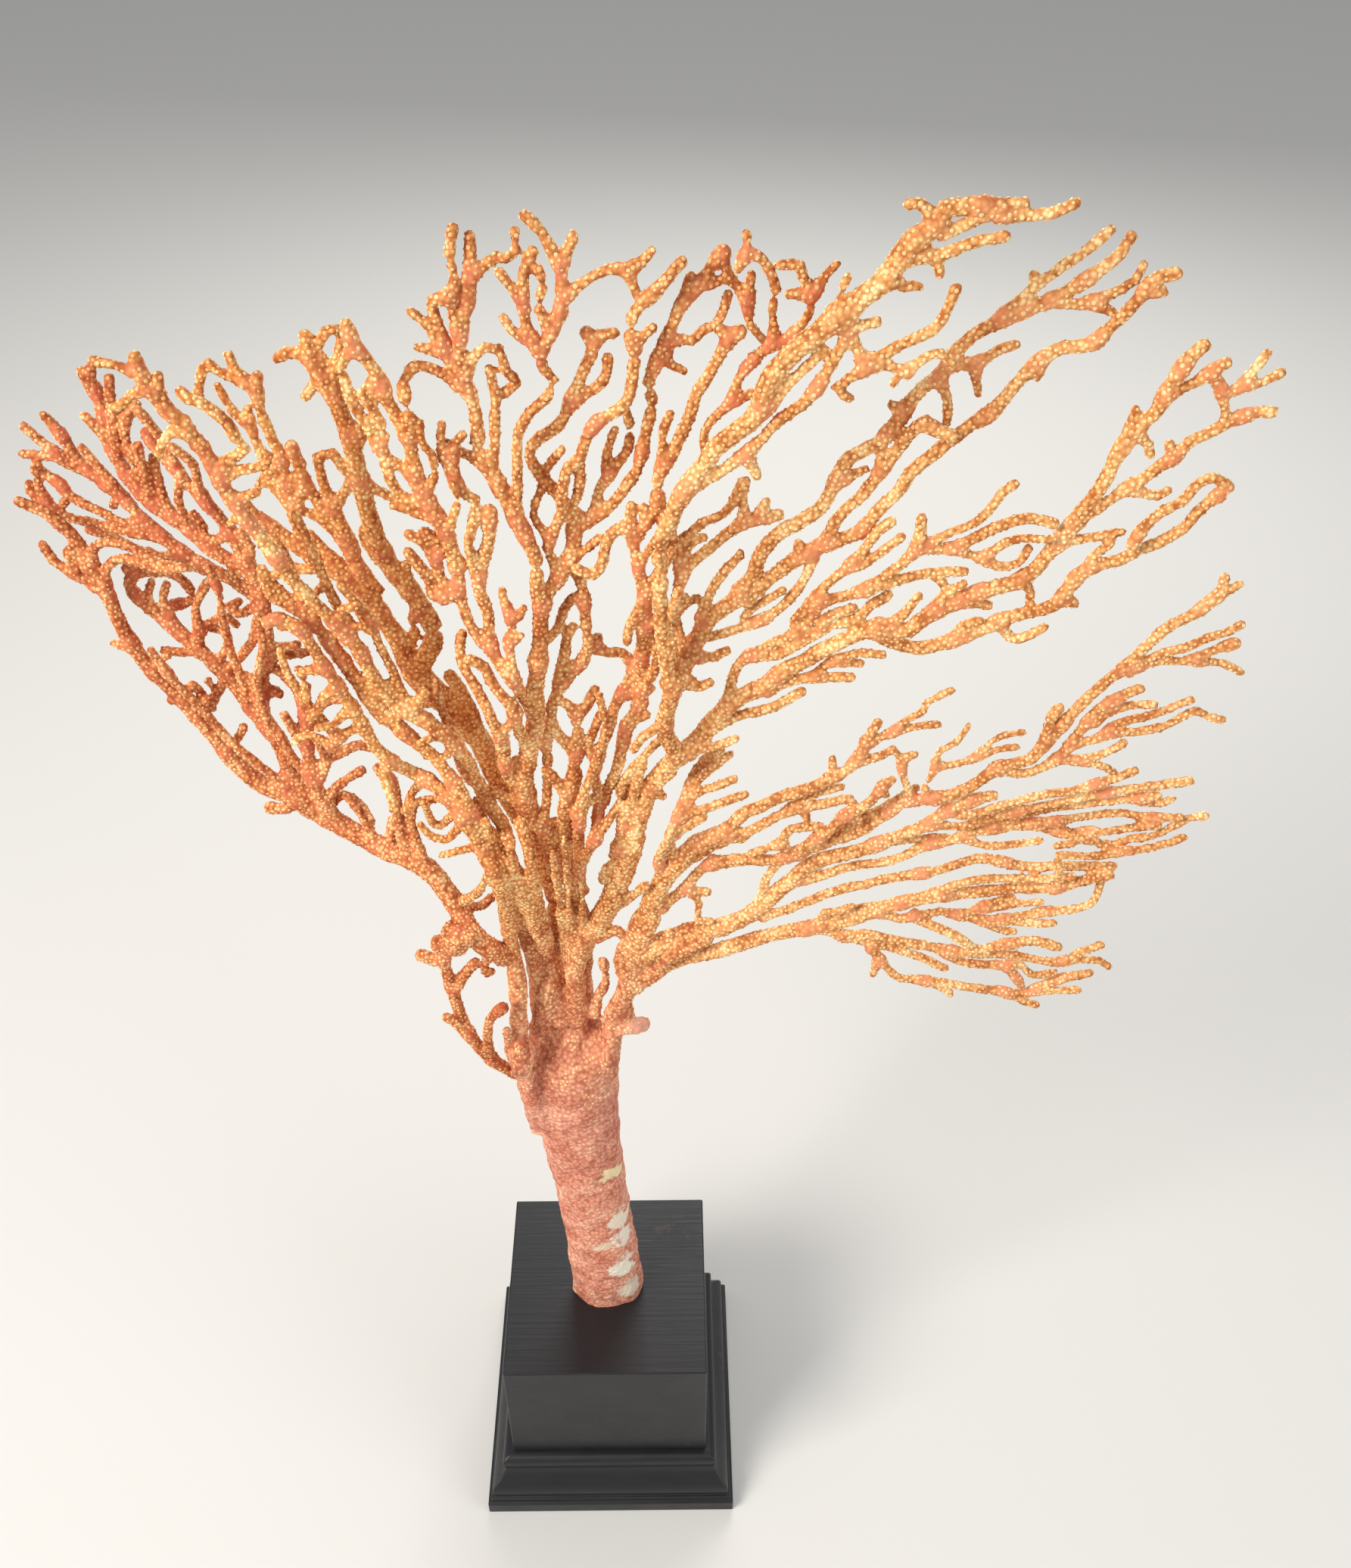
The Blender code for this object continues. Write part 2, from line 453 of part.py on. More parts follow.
    ("right_bottom_limb", "trunk", -6, """
4.4 2.6: 838,1302 852,1290 870,1281 890,1270 915,1262 945,1257 975,1248 1008,1238 1039,1231
    1064,1227 1090,1222 1115,1217 1141,1210 1161,1200 1205,1190 1240,1183 1262,1181 1298,1178
    1340,1174 1396,1173 1424,1165 1466,1156
2.0: 1082,1222 1090,1205 1105,1205 1125,1198
2.2: 1190,1192 1228,1180 1256,1172 1284,1164 1312,1161 1340,1161 1374,1162 1417,1158
2.2: 1161,1205 1187,1213 1217,1210 1243,1204 1275,1212 1312,1216 1368,1206 1424,1200 1445,1190
    1454,1166
2.0: 1262,1210 1281,1205 1298,1198 1318,1190 1337,1186
2.0: 1296,1205 1318,1199 1346,1194 1375,1192
2.0: 1322,1214 1346,1219 1368,1220 1392,1220
2.6: 1205,1208 1220,1218 1242,1227 1265,1238 1281,1250 1295,1256 1312,1251 1340,1246 1368,1243
    1397,1251
2.6: 1082,1225 1115,1235 1141,1234 1170,1240 1200,1246 1225,1250 1250,1256
2.2: 1110,1236 1135,1242 1160,1248 1190,1256 1215,1264 1248,1279
2.2: 1148,1250 1163,1266 1174,1281 1189,1292 1217,1295 1243,1304 1255,1312
2.2: 1248,1257 1267,1270 1298,1274 1326,1276 1340,1288 1349,1303
2.2: 1255,1256 1280,1260 1307,1261 1340,1262 1368,1268 1402,1271 1424,1260 1454,1249
1.8: 1402,1270 1436,1268 1453,1269 1465,1277
2.0: 1330,1270 1350,1275 1363,1288 1393,1285
2.2: 1220,1296 1240,1297 1262,1301 1285,1305 1326,1310 1354,1313 1380,1300 1402,1293 1440,1286
2.0: 1326,1310 1350,1322 1369,1328
2.0: 1365,1308 1390,1309 1424,1308
2.0: 1396,1172 1400,1145 1396,1131 1424,1131 1453,1131 1481,1125 1509,1122 1537,1116 1564,1107
"""),
)

COLOURS = {
    "plinth": (0.018, 0.017, 0.018),
    "trunk": (0.72, 0.36, 0.22),
    "front": (0.90, 0.58, 0.25),
    "back": (0.78, 0.34, 0.16),
    "crown": (0.88, 0.50, 0.22),
    "right": (0.88, 0.52, 0.24),
}


def clear_scene():
    for thing in list(bpy.data.objects):
        bpy.data.objects.remove(thing, do_unlink=True)


def make_material(name, colour, roughness):
    material = bpy.data.materials.new(name)
    material.use_nodes = True
    shader = material.node_tree.nodes["Principled BSDF"]
    shader.inputs["Base Color"].default_value = (*colour, 1.0)
    shader.inputs["Roughness"].default_value = roughness
    shader.inputs["Metallic"].default_value = 0.0
    return material


def add_object(name, form, material):
    """Turn a bmesh into a named object with its faces pointing out."""
    bmesh.ops.recalc_face_normals(form, faces=form.faces)
    if form.calc_volume(signed=True) < 0.0:
        bmesh.ops.reverse_faces(form, faces=form.faces)
    mesh = bpy.data.meshes.new(name)
    form.to_mesh(mesh)
    form.free()
    mesh.materials.append(material)
    thing = bpy.data.objects.new(name, mesh)
    bpy.context.scene.collection.objects.link(thing)
    return thing


def view_ray(x, y):
    """The direction from the eye through a position in the view, as long as one unit of depth."""
    across = x - VIEW_CENTRE[0]
    down = y - VIEW_CENTRE[1]
    u = math.cos(EYE_ROLL) * across + math.sin(EYE_ROLL) * down
    v = -math.sin(EYE_ROLL) * across + math.cos(EYE_ROLL) * down
    ahead = np.array((-math.sin(EYE_YAW), math.cos(EYE_YAW), 0.0))
    right = np.array((math.cos(EYE_YAW), math.sin(EYE_YAW), 0.0))
    rise = np.array((0.0, 0.0, 1.0))
    forward = ahead * math.cos(EYE_PITCH_DOWN) - rise * math.sin(EYE_PITCH_DOWN)
    upward = ahead * math.sin(EYE_PITCH_DOWN) + rise * math.cos(EYE_PITCH_DOWN)
    direction = forward * VIEW_DISTANCE + right * u - upward * v
    return direction / direction[1]


def at_depth(rays, depths):
    """Points on view rays, at the given depths behind the trunk's plane."""
    return np.array(EYE) + rays * (depths - EYE[1])[:, None]


def read_line(line):
    """One branch line: its thickness at both ends, and its positions in the view."""
    first, last = TWIG_THICKNESS, TWIG_THICKNESS * TIP_TAPER
    if ":" in line:
        words, line = line.split(":")
        sizes = [float(word) / 1000.0 for word in words.split()]
        first = sizes[0]
        last = sizes[1] if len(sizes) > 1 else sizes[0] * TIP_TAPER
    places = [tuple(float(value) for value in pair.split(",")) for pair in line.split()]
    return first, last, np.array(places)


def branch_lines(text):
    """The branch lines of a limb. An indented line goes on with the one above it."""
    return text.strip().replace("\n    ", " ").splitlines()


def smooth_route(places, step):
    """A rounded curve through the positions (Catmull-Rom), with a point about every step."""
    ends = np.vstack((2 * places[0] - places[1], places, 2 * places[-1] - places[-2]))
    points = []
    for i in range(1, len(ends) - 2):
        p0, p1, p2, p3 = ends[i - 1:i + 3]
        count = max(1, round(float(np.linalg.norm(p2 - p1)) / step))
        for j in range(count):
            t = j / count
            bend = (2 * p0 - 5 * p1 + 4 * p2 - p3) * t * t + (3 * p1 - p0 - 3 * p2 + p3) * t ** 3
            points.append(0.5 * (2 * p1 + (p2 - p0) * t + bend))
    points.append(places[-1])
    return np.array(points)


class Branch:
    """One branch: its view rays, its depths, its thickness and where it springs from."""

    def __init__(self, limb, line, parent, tip_depth, keeps_foot=False):
        first, last, places = read_line(line)
        self.limb = limb
        self.parent = parent
        self.children = []
        self.foot = 0
        foot_depth = 0.0
        if parent is not None:
            self.foot = parent.nearest(places[0])
            foot_depth = parent.depths[self.foot]
            parent.children.append(self)
            if not keeps_foot:
                places[0] = parent.places[self.foot]
        ray = view_ray(*places[0])
        scale = VIEW_DISTANCE / (float(np.linalg.norm(ray)) * (foot_depth - EYE[1]))
        self.places = smooth_route(places, ROUTE_STEP * scale)
        self.rays = np.array([view_ray(x, y) for x, y in self.places])
        share = np.linspace(0.0, 1.0, len(self.places))
        self.depths = foot_depth + (tip_depth - foot_depth) * share
        self.radii = 0.5 * (first + (last - first) * share)

    def nearest(self, place):
        """The index of the point that lies nearest to a position in the view."""
        return int(np.argmin(np.linalg.norm(self.places - place, axis=1)))

    def distance_to(self, place):
        return float(np.min(np.linalg.norm(self.places - place, axis=1)))

    def set_curve(self):
        """Fix the branch's curve in space, and the distance along it at each point."""
        self.points = at_depth(self.rays, self.depths)
        steps = np.linalg.norm(np.diff(self.points, axis=0), axis=1)
        self.along = np.concatenate(([0.0], np.cumsum(steps)))
        self.length = self.along[-1]

    def point(self, s):
        return np.array([np.interp(s, self.along, self.points[:, i]) for i in range(3)])

    def radius(self, s):
        return float(np.interp(s, self.along, self.radii))

    def heading(self, s):
        after = self.point(min(s + HEADING_REACH, self.length))
        ahead = after - self.point(max(s - HEADING_REACH, 0.0))
        return ahead / np.linalg.norm(ahead)


def read_limbs():
    """Every branch, in order, each after the one that it springs from."""
    limbs = {}
    for name, carrier, tip_mm, text in LIMBS:
        limb_depth = tip_mm / 1000.0
        branches = []
        for number, line in enumerate(branch_lines(text)):
            start = read_line(line)[2][0]
            hosts = branches if branches else limbs.get(carrier, [])
            if name == "trunk" and number:
                hosts = branches[:1] if number <= STRAND_COUNT else branches[1:STRAND_COUNT + 1]
            parent = min(hosts, key=lambda host: host.distance_to(start)) if hosts else None
            tip_depth = limb_depth
            if branches and parent is not None:
                foot_depth = parent.depths[parent.nearest(start)]
                tip_depth = foot_depth + TWIG_DEPTH_SHARE * (limb_depth - foot_depth)
            on_trunk = parent is not None and parent.limb == "trunk" and parent.parent is None
            branches.append(Branch(name, line, parent, tip_depth, keeps_foot=on_trunk))
        limbs[name] = branches
    trunk = limbs["trunk"][0]
    spread = np.linspace(0.0, 1.0, len(TRUNK_WIDTHS))
    trunk.radii = 0.5 * np.interp(np.linspace(0.0, 1.0, len(trunk.places)), spread, TRUNK_WIDTHS)
    return limbs


def related(a, i, b, j):
    """Whether two points are so near along the branches that they may touch."""
    near = NEAR_STEPS + (a.radii[i] + b.radii[j]) / ROUTE_STEP
    if a is b:
        return abs(i - j) <= near
    if b.parent is a:
        return j + abs(i - b.foot) <= near
    if a.parent is b:
        return i + abs(j - a.foot) <= near
    if a.parent is b.parent:
        return i + j + abs(a.foot - b.foot) <= near
    if b.parent is not None and b.parent.parent is a:
        return j + b.foot + abs(b.parent.foot - i) <= near
    if a.parent is not None and a.parent.parent is b:
        return i + a.foot + abs(a.parent.foot - j) <= near
    return False


def clear_depths(limbs):
    """Part the branches in depth, along the view rays, until they clear each other."""
    branches = [branch for group in limbs.values() for branch in group]
    owners = [(branch, i) for branch in branches for i in range(len(branch.places))]
    starts = np.cumsum([0] + [len(branch.places) for branch in branches])
    rays = np.vstack([branch.rays for branch in branches])
    depths = np.concatenate([branch.depths for branch in branches])
    first_depths = depths.copy()
    radii = np.concatenate([branch.radii for branch in branches])
    flat = at_depth(rays, np.zeros(len(rays)))[:, [0, 2]]
    lengths = np.linalg.norm(rays, axis=1)
    directions = rays / lengths[:, None]
    firsts = []
    seconds = []
    for i in range(len(flat) - 1):
        gaps = np.linalg.norm(flat[i + 1:] - flat[i], axis=1)
        wanted = CORNER_REACH * (radii[i] + radii[i + 1:]) + DEPTH_CLEARANCE
        for j in np.nonzero(gaps < PAIR_REACH * wanted)[0] + i + 1:
            if not related(*owners[i], *owners[j]):
                firsts.append(i)
                seconds.append(j)
    firsts = np.array(firsts)
    seconds = np.array(seconds)
    wanted = CORNER_REACH * (radii[firsts] + radii[seconds]) + DEPTH_CLEARANCE
    trunk_points = range(starts[0], starts[1])
    for turn in range(CLEARING_ROUNDS):
        stiffness = DEPTH_STIFFNESS * (1.0 - turn / CLEARING_ROUNDS) ** 2
        points = at_depth(rays, depths)
        apart = points[firsts] - points[seconds]
        axis = directions[firsts]
        along = np.sum(apart * axis, axis=1)
        across = np.sum(apart * apart, axis=1) - along * along
        needed = np.sqrt(np.maximum(wanted * wanted - across, 0.0))
        short = np.maximum(needed - np.abs(along), 0.0)
        push = 0.5 * short * np.where(along >= 0.0, 1.0, -1.0) / lengths[firsts]
        total = np.zeros(len(depths))
        count = np.zeros(len(depths))
        np.add.at(total, firsts, push)
        np.add.at(total, seconds, -push)
        np.add.at(count, firsts, short > 0.0)
        np.add.at(count, seconds, short > 0.0)
        depths = depths + PUSH_SHARE * total / np.maximum(count, 1.0)
        depths = np.clip(depths, first_depths - DEPTH_RANGE, first_depths + DEPTH_RANGE)
        depths[trunk_points] = 0.0
        for number, branch in enumerate(branches):
            own = depths[starts[number]:starts[number + 1]]
            if len(own) > 2:
                own[1:-1] += stiffness * (0.5 * (own[:-2] + own[2:]) - own[1:-1])
            if branch.parent is not None:
                parent_start = starts[branches.index(branch.parent)]
                slip = depths[parent_start + branch.foot] - own[0]
                fade = np.clip(1.0 - np.arange(len(own)) * ROUTE_STEP / FORK_BLEND, 0.0, 1.0)
                own += slip * fade
    for number, branch in enumerate(branches):
        branch.depths = depths[starts[number]:starts[number + 1]]
        for turn in range(FINAL_SMOOTHING):
            inner = branch.depths[1:-1]
            inner += 0.25 * (branch.depths[:-2] + branch.depths[2:] - 2.0 * inner)
    for branch in branches:
        if branch.parent is not None and branch.parent is not limbs["trunk"][0]:
            slip = branch.parent.depths[branch.foot] - branch.depths[0]
            fade = 1.0 - np.arange(len(branch.depths)) * ROUTE_STEP / FORK_BLEND
            branch.depths += slip * np.clip(fade, 0.0, 1.0)
        branch.set_curve()
    draw_in(branches)


def draw_in(branches):
    """Thin the branches where they pass close to each other, so that a gap stays between them."""
    samples = []
    for number, branch in enumerate(branches):
        count = max(2, round(branch.length / CLOSE_STEP) + 1)
        branch.fine = np.linspace(0.0, branch.length, count)
        branch.reach = np.array([branch.radius(s) for s in branch.fine]) * CORNER_REACH
        steps = np.interp(branch.fine, branch.along, np.arange(len(branch.along)))
        is_stem = branch.parent is not None and branch.parent.limb != branch.limb
        cut = cut_place(branch)[1] if is_stem else -1.0
        for k in range(count):
            piece = branch.parent.limb if branch.fine[k] < cut else branch.limb
            samples.append((number, piece, steps[k]))
    numbers = np.array([sample[0] for sample in samples])
    places = np.vstack([branch.point(s) for branch in branches for s in branch.fine])
    reaches = np.concatenate([branch.reach for branch in branches])
    allowed = reaches.copy()
    for i in range(len(places)):
        number, piece, step = samples[i]
        gaps = np.linalg.norm(places - places[i], axis=1)
        close = np.nonzero(gaps < reaches + reaches[i] + CLOSE_GAP)[0]
        for j in close:
            other, other_piece, other_step = samples[j]
            if other == number:
                continue
            near = related(branches[number], int(step), branches[other], int(other_step))
            if near and piece == other_piece:
                continue
            share = reaches[i] / (reaches[i] + reaches[j])
            room = (gaps[j] - CLOSE_GAP) * share
            allowed[i] = min(allowed[i], max(room, THINNEST * reaches[i]))
    first = 0
    for branch in branches:
        branch.reach = allowed[first:first + len(branch.fine)]
        first += len(branch.fine)


def cross_section(branch, s, sides, flatness=1.0):
    """The corners of a branch's section at a distance along it, with flat sides left and right."""
    ahead = branch.heading(s)
    front = np.array((0.0, -1.0, 0.0))
    front = front - ahead * np.dot(front, ahead)
    front /= np.linalg.norm(front)
    side = np.cross(ahead, front)
    centre = branch.point(s)
    reach = branch.radius(s)
    if sides == BRANCH_SIDES:
        reach = float(np.interp(s, branch.fine, branch.reach))
    turns = (np.arange(sides) + 0.5) * 2.0 * math.pi / sides
    return [centre + reach * (math.cos(turn) * side + math.sin(turn) * flatness * front)
            for turn in turns]


def facing_side(branch, child, s, sides):
    """Which side of the branch a child leaves from."""
    ahead = branch.heading(s)
    front = np.array((0.0, -1.0, 0.0))
    front = front - ahead * np.dot(front, ahead)
    front /= np.linalg.norm(front)
    side = np.cross(ahead, front)
    past_skin = min(child.length, LEAVING_RADII * branch.radius(s) + LEAVING_REACH)
    away = child.point(past_skin) - branch.point(s)
    if sides == BRANCH_SIDES:
        across = float(np.dot(away, side))
        depth = float(np.dot(away, front))
        if abs(across) * SIDE_PREFERENCE >= abs(depth):
            return 0 if across > 0 else 2
        return 1 if depth > 0 else 3
    turn = math.atan2(np.dot(away, front), np.dot(away, side))
    return round(turn / (2.0 * math.pi / sides)) % sides


def plan_forks(branch, sides, clear):
    """Give each child a stretch of the branch and a side to spring from, or its tip."""
    plan = []
    tip_child = None
    stretches = []
    for child in sorted(branch.children, key=lambda one: one.foot):
        middle = branch.along[min(child.foot, len(branch.along) - 1)]
        half = FORK_LENGTH * child.radii[0]
        at_tip = middle > branch.length - TIP_FORK_SHARE * half
        if at_tip and tip_child is None and child.length > 2.0 * half:
            tip_child = child
            continue
        side = facing_side(branch, child, min(middle, branch.length), sides)
        low = max(middle - half, clear)
        high = low + 2.0 * half
        if high > branch.length:
            high = branch.length
            low = max(high - 2.0 * half, clear)
        placed = False
        for stretch in stretches:
            overlap = min(high, stretch[1]) - max(low, stretch[0])
            if overlap > SHARED_STRETCH * (high - low) and side not in stretch[2]:
                stretch[2][side] = child
                placed = True
                break
        if placed:
            continue
        for stretch in stretches:
            if low < stretch[1] and high > stretch[0]:
                low = stretch[1]
                high = low + 2.0 * half
        if high > branch.length:
            if branch.length - low > half:
                high = branch.length
            else:
                free = [one for one in stretches if side not in one[2]]
                if free:
                    free[-1][2][side] = child
                continue
        if stretches and low - stretches[-1][1] < SHORTEST_RING_GAP:
            low = stretches[-1][1]
        if branch.length - high < SHORTEST_RING_GAP:
            high = branch.length
        stretches.append([low, high, {side: child}])
        stretches.sort(key=lambda one: one[0])
    for low, high, children in stretches:
        plan.append((low, high, children))
    return plan, tip_child


def fill_rings(branch, stations):
    """Add rings between the given ones where the branch bends or a stretch is long."""
    result = [stations[0]]
    for low, high in zip(stations[:-1], stations[1:]):
        result.extend(split_stretch(branch, low, high))
        result.append(high)
    return result


def split_stretch(branch, low, high):
    if high - low < 2.0 * SHORTEST_RING_GAP:
        return []
    start = branch.point(low)
    end = branch.point(high)
    worst = 0.0
    place = 0.5 * (low + high)
    for share in np.linspace(BEND_MARGIN, 1.0 - BEND_MARGIN, BEND_SAMPLES):
        s = low + share * (high - low)
        off = float(np.linalg.norm(branch.point(s) - (start + share * (end - start))))
        if off > worst:
            worst, place = off, s
    if worst < RING_TOLERANCE and high - low < LONGEST_RING_GAP:
        return []
    if worst < RING_TOLERANCE:
        place = 0.5 * (low + high)
    place = min(max(place, low + SHORTEST_RING_GAP), high - SHORTEST_RING_GAP)
    return split_stretch(branch, low, place) + [place] + split_stretch(branch, place, high)


def clear_of_parent(branch):
    """The distance along a branch at which its first ring of its own is clear of its parent."""
    if branch.parent is None:
        return 0.0
    parent = branch.parent
    s = 0.0
    while s < LATEST_CLEAR * branch.length:
        centre = branch.point(s)
        gaps = np.linalg.norm(parent.points - centre, axis=1)
        nearest = int(np.argmin(gaps))
        reach = parent.radii[nearest] + CLEAR_CHILD_SHARE * branch.radius(s)
        if gaps[nearest] > CORNER_REACH * reach:
            break
        s += CLEAR_STEP
    return min(s, LATEST_CLEAR * branch.length)


def best_match(start, ring):
    """The turn of the start's corners that lies nearest to the ring's corners."""
    orders = [start[shift:] + start[:shift] for shift in range(len(start))]
    return min(orders, key=lambda order: sum(
        (np.array(a.co) - np.array(b.co)) @ (np.array(a.co) - np.array(b.co))
        for a, b in zip(order, ring)))


def cut_place(branch):
    """Where a limb is parted from the one that carries it: past the fork, clear of it."""
    clear = max(clear_of_parent(branch), FOOT_SHARE * branch.radii[0])
    return clear, min(clear + STUB_LENGTH, LATEST_CUT * branch.length)


def skin_stub(form, branch, start, roots):
    """The foot of the next limb, up to the cut, as a part of the limb that carries it."""
    clear, cut = cut_place(branch)
    rings = []
    for s in (clear, cut):
        rings.append([form.verts.new(corner) for corner in cross_section(branch, s, BRANCH_SIDES)])
    start = best_match(start, rings[0])
    for lower, upper in ((start, rings[0]), (rings[0], rings[1])):
        for k in range(BRANCH_SIDES):
            after = (k + 1) % BRANCH_SIDES
            form.faces.new((lower[k], lower[after], upper[after], upper[k]))
    form.faces.new(rings[1])
    roots.append(branch)


def skin_branch(form, branch, start, roots):
    """Build one branch's skin from its start corners, and go on with what springs from it."""
    clear = max(clear_of_parent(branch), FOOT_SHARE * branch.radii[0])
    if start is None:
        clear = cut_place(branch)[1] + PIECE_GAP
    plan, tip_child = plan_forks(branch, BRANCH_SIDES, clear)
    stations = [clear]
    for low, high, _ in plan:
        for s in (low, high):
            if s - stations[-1] > SAME_PLACE:
                stations.append(s)
    if branch.length - stations[-1] > SHORTEST_RING_GAP or len(stations) == 1:
        stations.append(branch.length)
    stations = fill_rings(branch, stations)
    rings = []
    for s in stations:
        rings.append([form.verts.new(corner) for corner in cross_section(branch, s, BRANCH_SIDES)])
    if start is None:
        form.faces.new(rings[0])
    else:
        start = best_match(start, rings[0])
        for k in range(BRANCH_SIDES):
            after = (k + 1) % BRANCH_SIDES
            form.faces.new((start[k], start[after], rings[0][after], rings[0][k]))
    for number in range(len(rings) - 1):
        low = stations[number]
        children = next((kids for a, b, kids in plan if abs(a - low) < SAME_PLACE), {})
        skin_between(form, branch, rings[number], rings[number + 1], children, roots)
    end_branch(form, branch, rings[-1], tip_child, roots)


def skin_between(form, branch, lower, upper, children, roots):
    """The faces between two rings. A child of the same limb takes the place of its face."""
    sides = len(lower)
    for k in range(sides):
        before = (k - 1) % sides
        corners = [lower[before], lower[k], upper[k], upper[before]]
        child = children.get(k)
        if child is None:
            form.faces.new(corners)
        elif child.limb == branch.limb:
            skin_branch(form, child, corners, roots)
        else:
            skin_stub(form, child, corners, roots)


def end_branch(form, branch, ring, tip_child, roots):
    if tip_child is None:
        form.faces.new(ring)
    elif tip_child.limb == branch.limb:
        skin_branch(form, tip_child, list(ring), roots)
    else:
        skin_stub(form, tip_child, list(ring), roots)


def build_trunk(form, limbs, roots):
    """The trunk: rings of twelve corners, and a row of five quads at its top, one per strand."""
    trunk = limbs["trunk"][0]
    strands = limbs["trunk"][1:STRAND_COUNT + 1]
    foot_height = trunk_foot()
    side_children = [child for child in trunk.children if child not in strands]
    trunk.children = side_children
    plan, _ = plan_forks(trunk, TRUNK_SIDES, FIRST_FORK_HEIGHT)
    stations = [0.0]
    for low, high, _ in plan:
        stations.extend(s for s in (low, high) if s - stations[-1] > SAME_PLACE)
    if trunk.length - stations[-1] > SHORTEST_RING_GAP:
        stations.append(trunk.length)
    stations = fill_rings(trunk, stations)
    rings = []
    for s in stations:
        corners = cross_section(trunk, s, TRUNK_SIDES, TRUNK_FLATNESS)
        if s == 0.0:
            corners = [np.array((x, y, foot_height)) for x, y, _ in corners]
        rings.append([form.verts.new(corner) for corner in corners])
    form.faces.new(rings[0])
    for number in range(len(rings) - 1):
        low = stations[number]
        children = next((kids for a, b, kids in plan if abs(a - low) < SAME_PLACE), {})
        skin_between(form, trunk, rings[number], rings[number + 1], children, roots)
    top = rings[-1]
    half = TRUNK_SIDES // 2
    for column, strand in enumerate(strands):
        quad = [top[half + column], top[half + 1 + column],
                top[half - 2 - column], top[half - 1 - column]]
        skin_branch(form, strand, quad, roots)


def trunk_foot():
    return BLOCK_HEIGHT + MOULDING_HEIGHT + PIECE_GAP


def build_fan(limbs, materials):
    """Skin the limbs, each from its cut on, into one object a limb."""
    roots = []
    form = bmesh.new()
    build_trunk(form, limbs, roots)
    add_object("trunk", form, materials["trunk"])
    while roots:
        stem = roots.pop(0)
        form = bmesh.new()
        skin_branch(form, stem, None, roots)
        add_object(stem.limb, form, materials[colour_of(stem.limb)])


def colour_of(limb):
    word = limb.split("_")[0]
    return {"plate": "front", "tall": "front", "low": "back", "left": "trunk"}.get(word, word)


def build_plinth(materials):
    """The moulded foot, and the square block on it."""
    form = bmesh.new()
    half = MOULDING_WIDTH / 2.0
    step = MOULDING_STEP_WIDTH / 2.0
    top = MOULDING_HEIGHT - PIECE_GAP
    rise = top - MOULDING_STEP_HEIGHT - MOULDING_FILLET
    outline = [(half, 0.0), (half, MOULDING_FILLET)]
    for number in range(MOULDING_CURVE_STEPS + 1):
        share = number / MOULDING_CURVE_STEPS
        swell = MOULDING_BULGE * math.sin(2.0 * math.pi * share)
        out = half - MOULDING_LEDGE + (step - half + MOULDING_LEDGE) * share + swell
        outline.append((out, MOULDING_FILLET + rise * share))
    outline.append((step, top))
    rings = []
    for out, height in outline:
        if rings and math.dist(rings[-1], (out, height)) < SAME_PLACE:
            continue
        rings.append((out, height))
    skin_square_rings(form, rings)
    add_object("plinth_moulding", form, materials["plinth"])
    form = bmesh.new()
    half = BLOCK_WIDTH / 2.0
    high = MOULDING_HEIGHT + BLOCK_HEIGHT
    rings = [(half - EDGE_ROUNDING, MOULDING_HEIGHT), (half, MOULDING_HEIGHT + EDGE_ROUNDING),
             (half, high - EDGE_ROUNDING), (half - EDGE_ROUNDING, high)]
    skin_square_rings(form, rings)
    add_object("plinth_block", form, materials["plinth"])


def skin_square_rings(form, rings):
    """A closed form of square rings, each given by its half width and its height."""
    loops = []
    for half, height in rings:
        corners = ((-half, -half), (half, -half), (half, half), (-half, half))
        loops.append([form.verts.new((x, y, height)) for x, y in corners])
    form.faces.new(loops[0])
    form.faces.new(loops[-1])
    for lower, upper in zip(loops[:-1], loops[1:]):
        for k in range(4):
            after = (k + 1) % 4
            form.faces.new((lower[k], lower[after], upper[after], upper[k]))


def main():
    clear_scene()
    materials = {}
    for name, colour in COLOURS.items():
        roughness = PAINT_ROUGHNESS if name == "plinth" else RIND_ROUGHNESS
        materials[name] = make_material("sea_fan_" + name, colour, roughness)
    build_plinth(materials)
    limbs = read_limbs()
    clear_depths(limbs)
    build_fan(limbs, materials)


main()
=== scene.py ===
# %% [markdown]
# A dried sea fan stands on a small black wooden plinth.
# The solids of both are already made and packed, and the first step loads them.
# Everything below is fitted to them, and they are never moved or changed.

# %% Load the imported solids
import math

import bmesh
import bpy
import numpy as np
from mathutils import Matrix, Vector
from mathutils.bvhtree import BVHTree


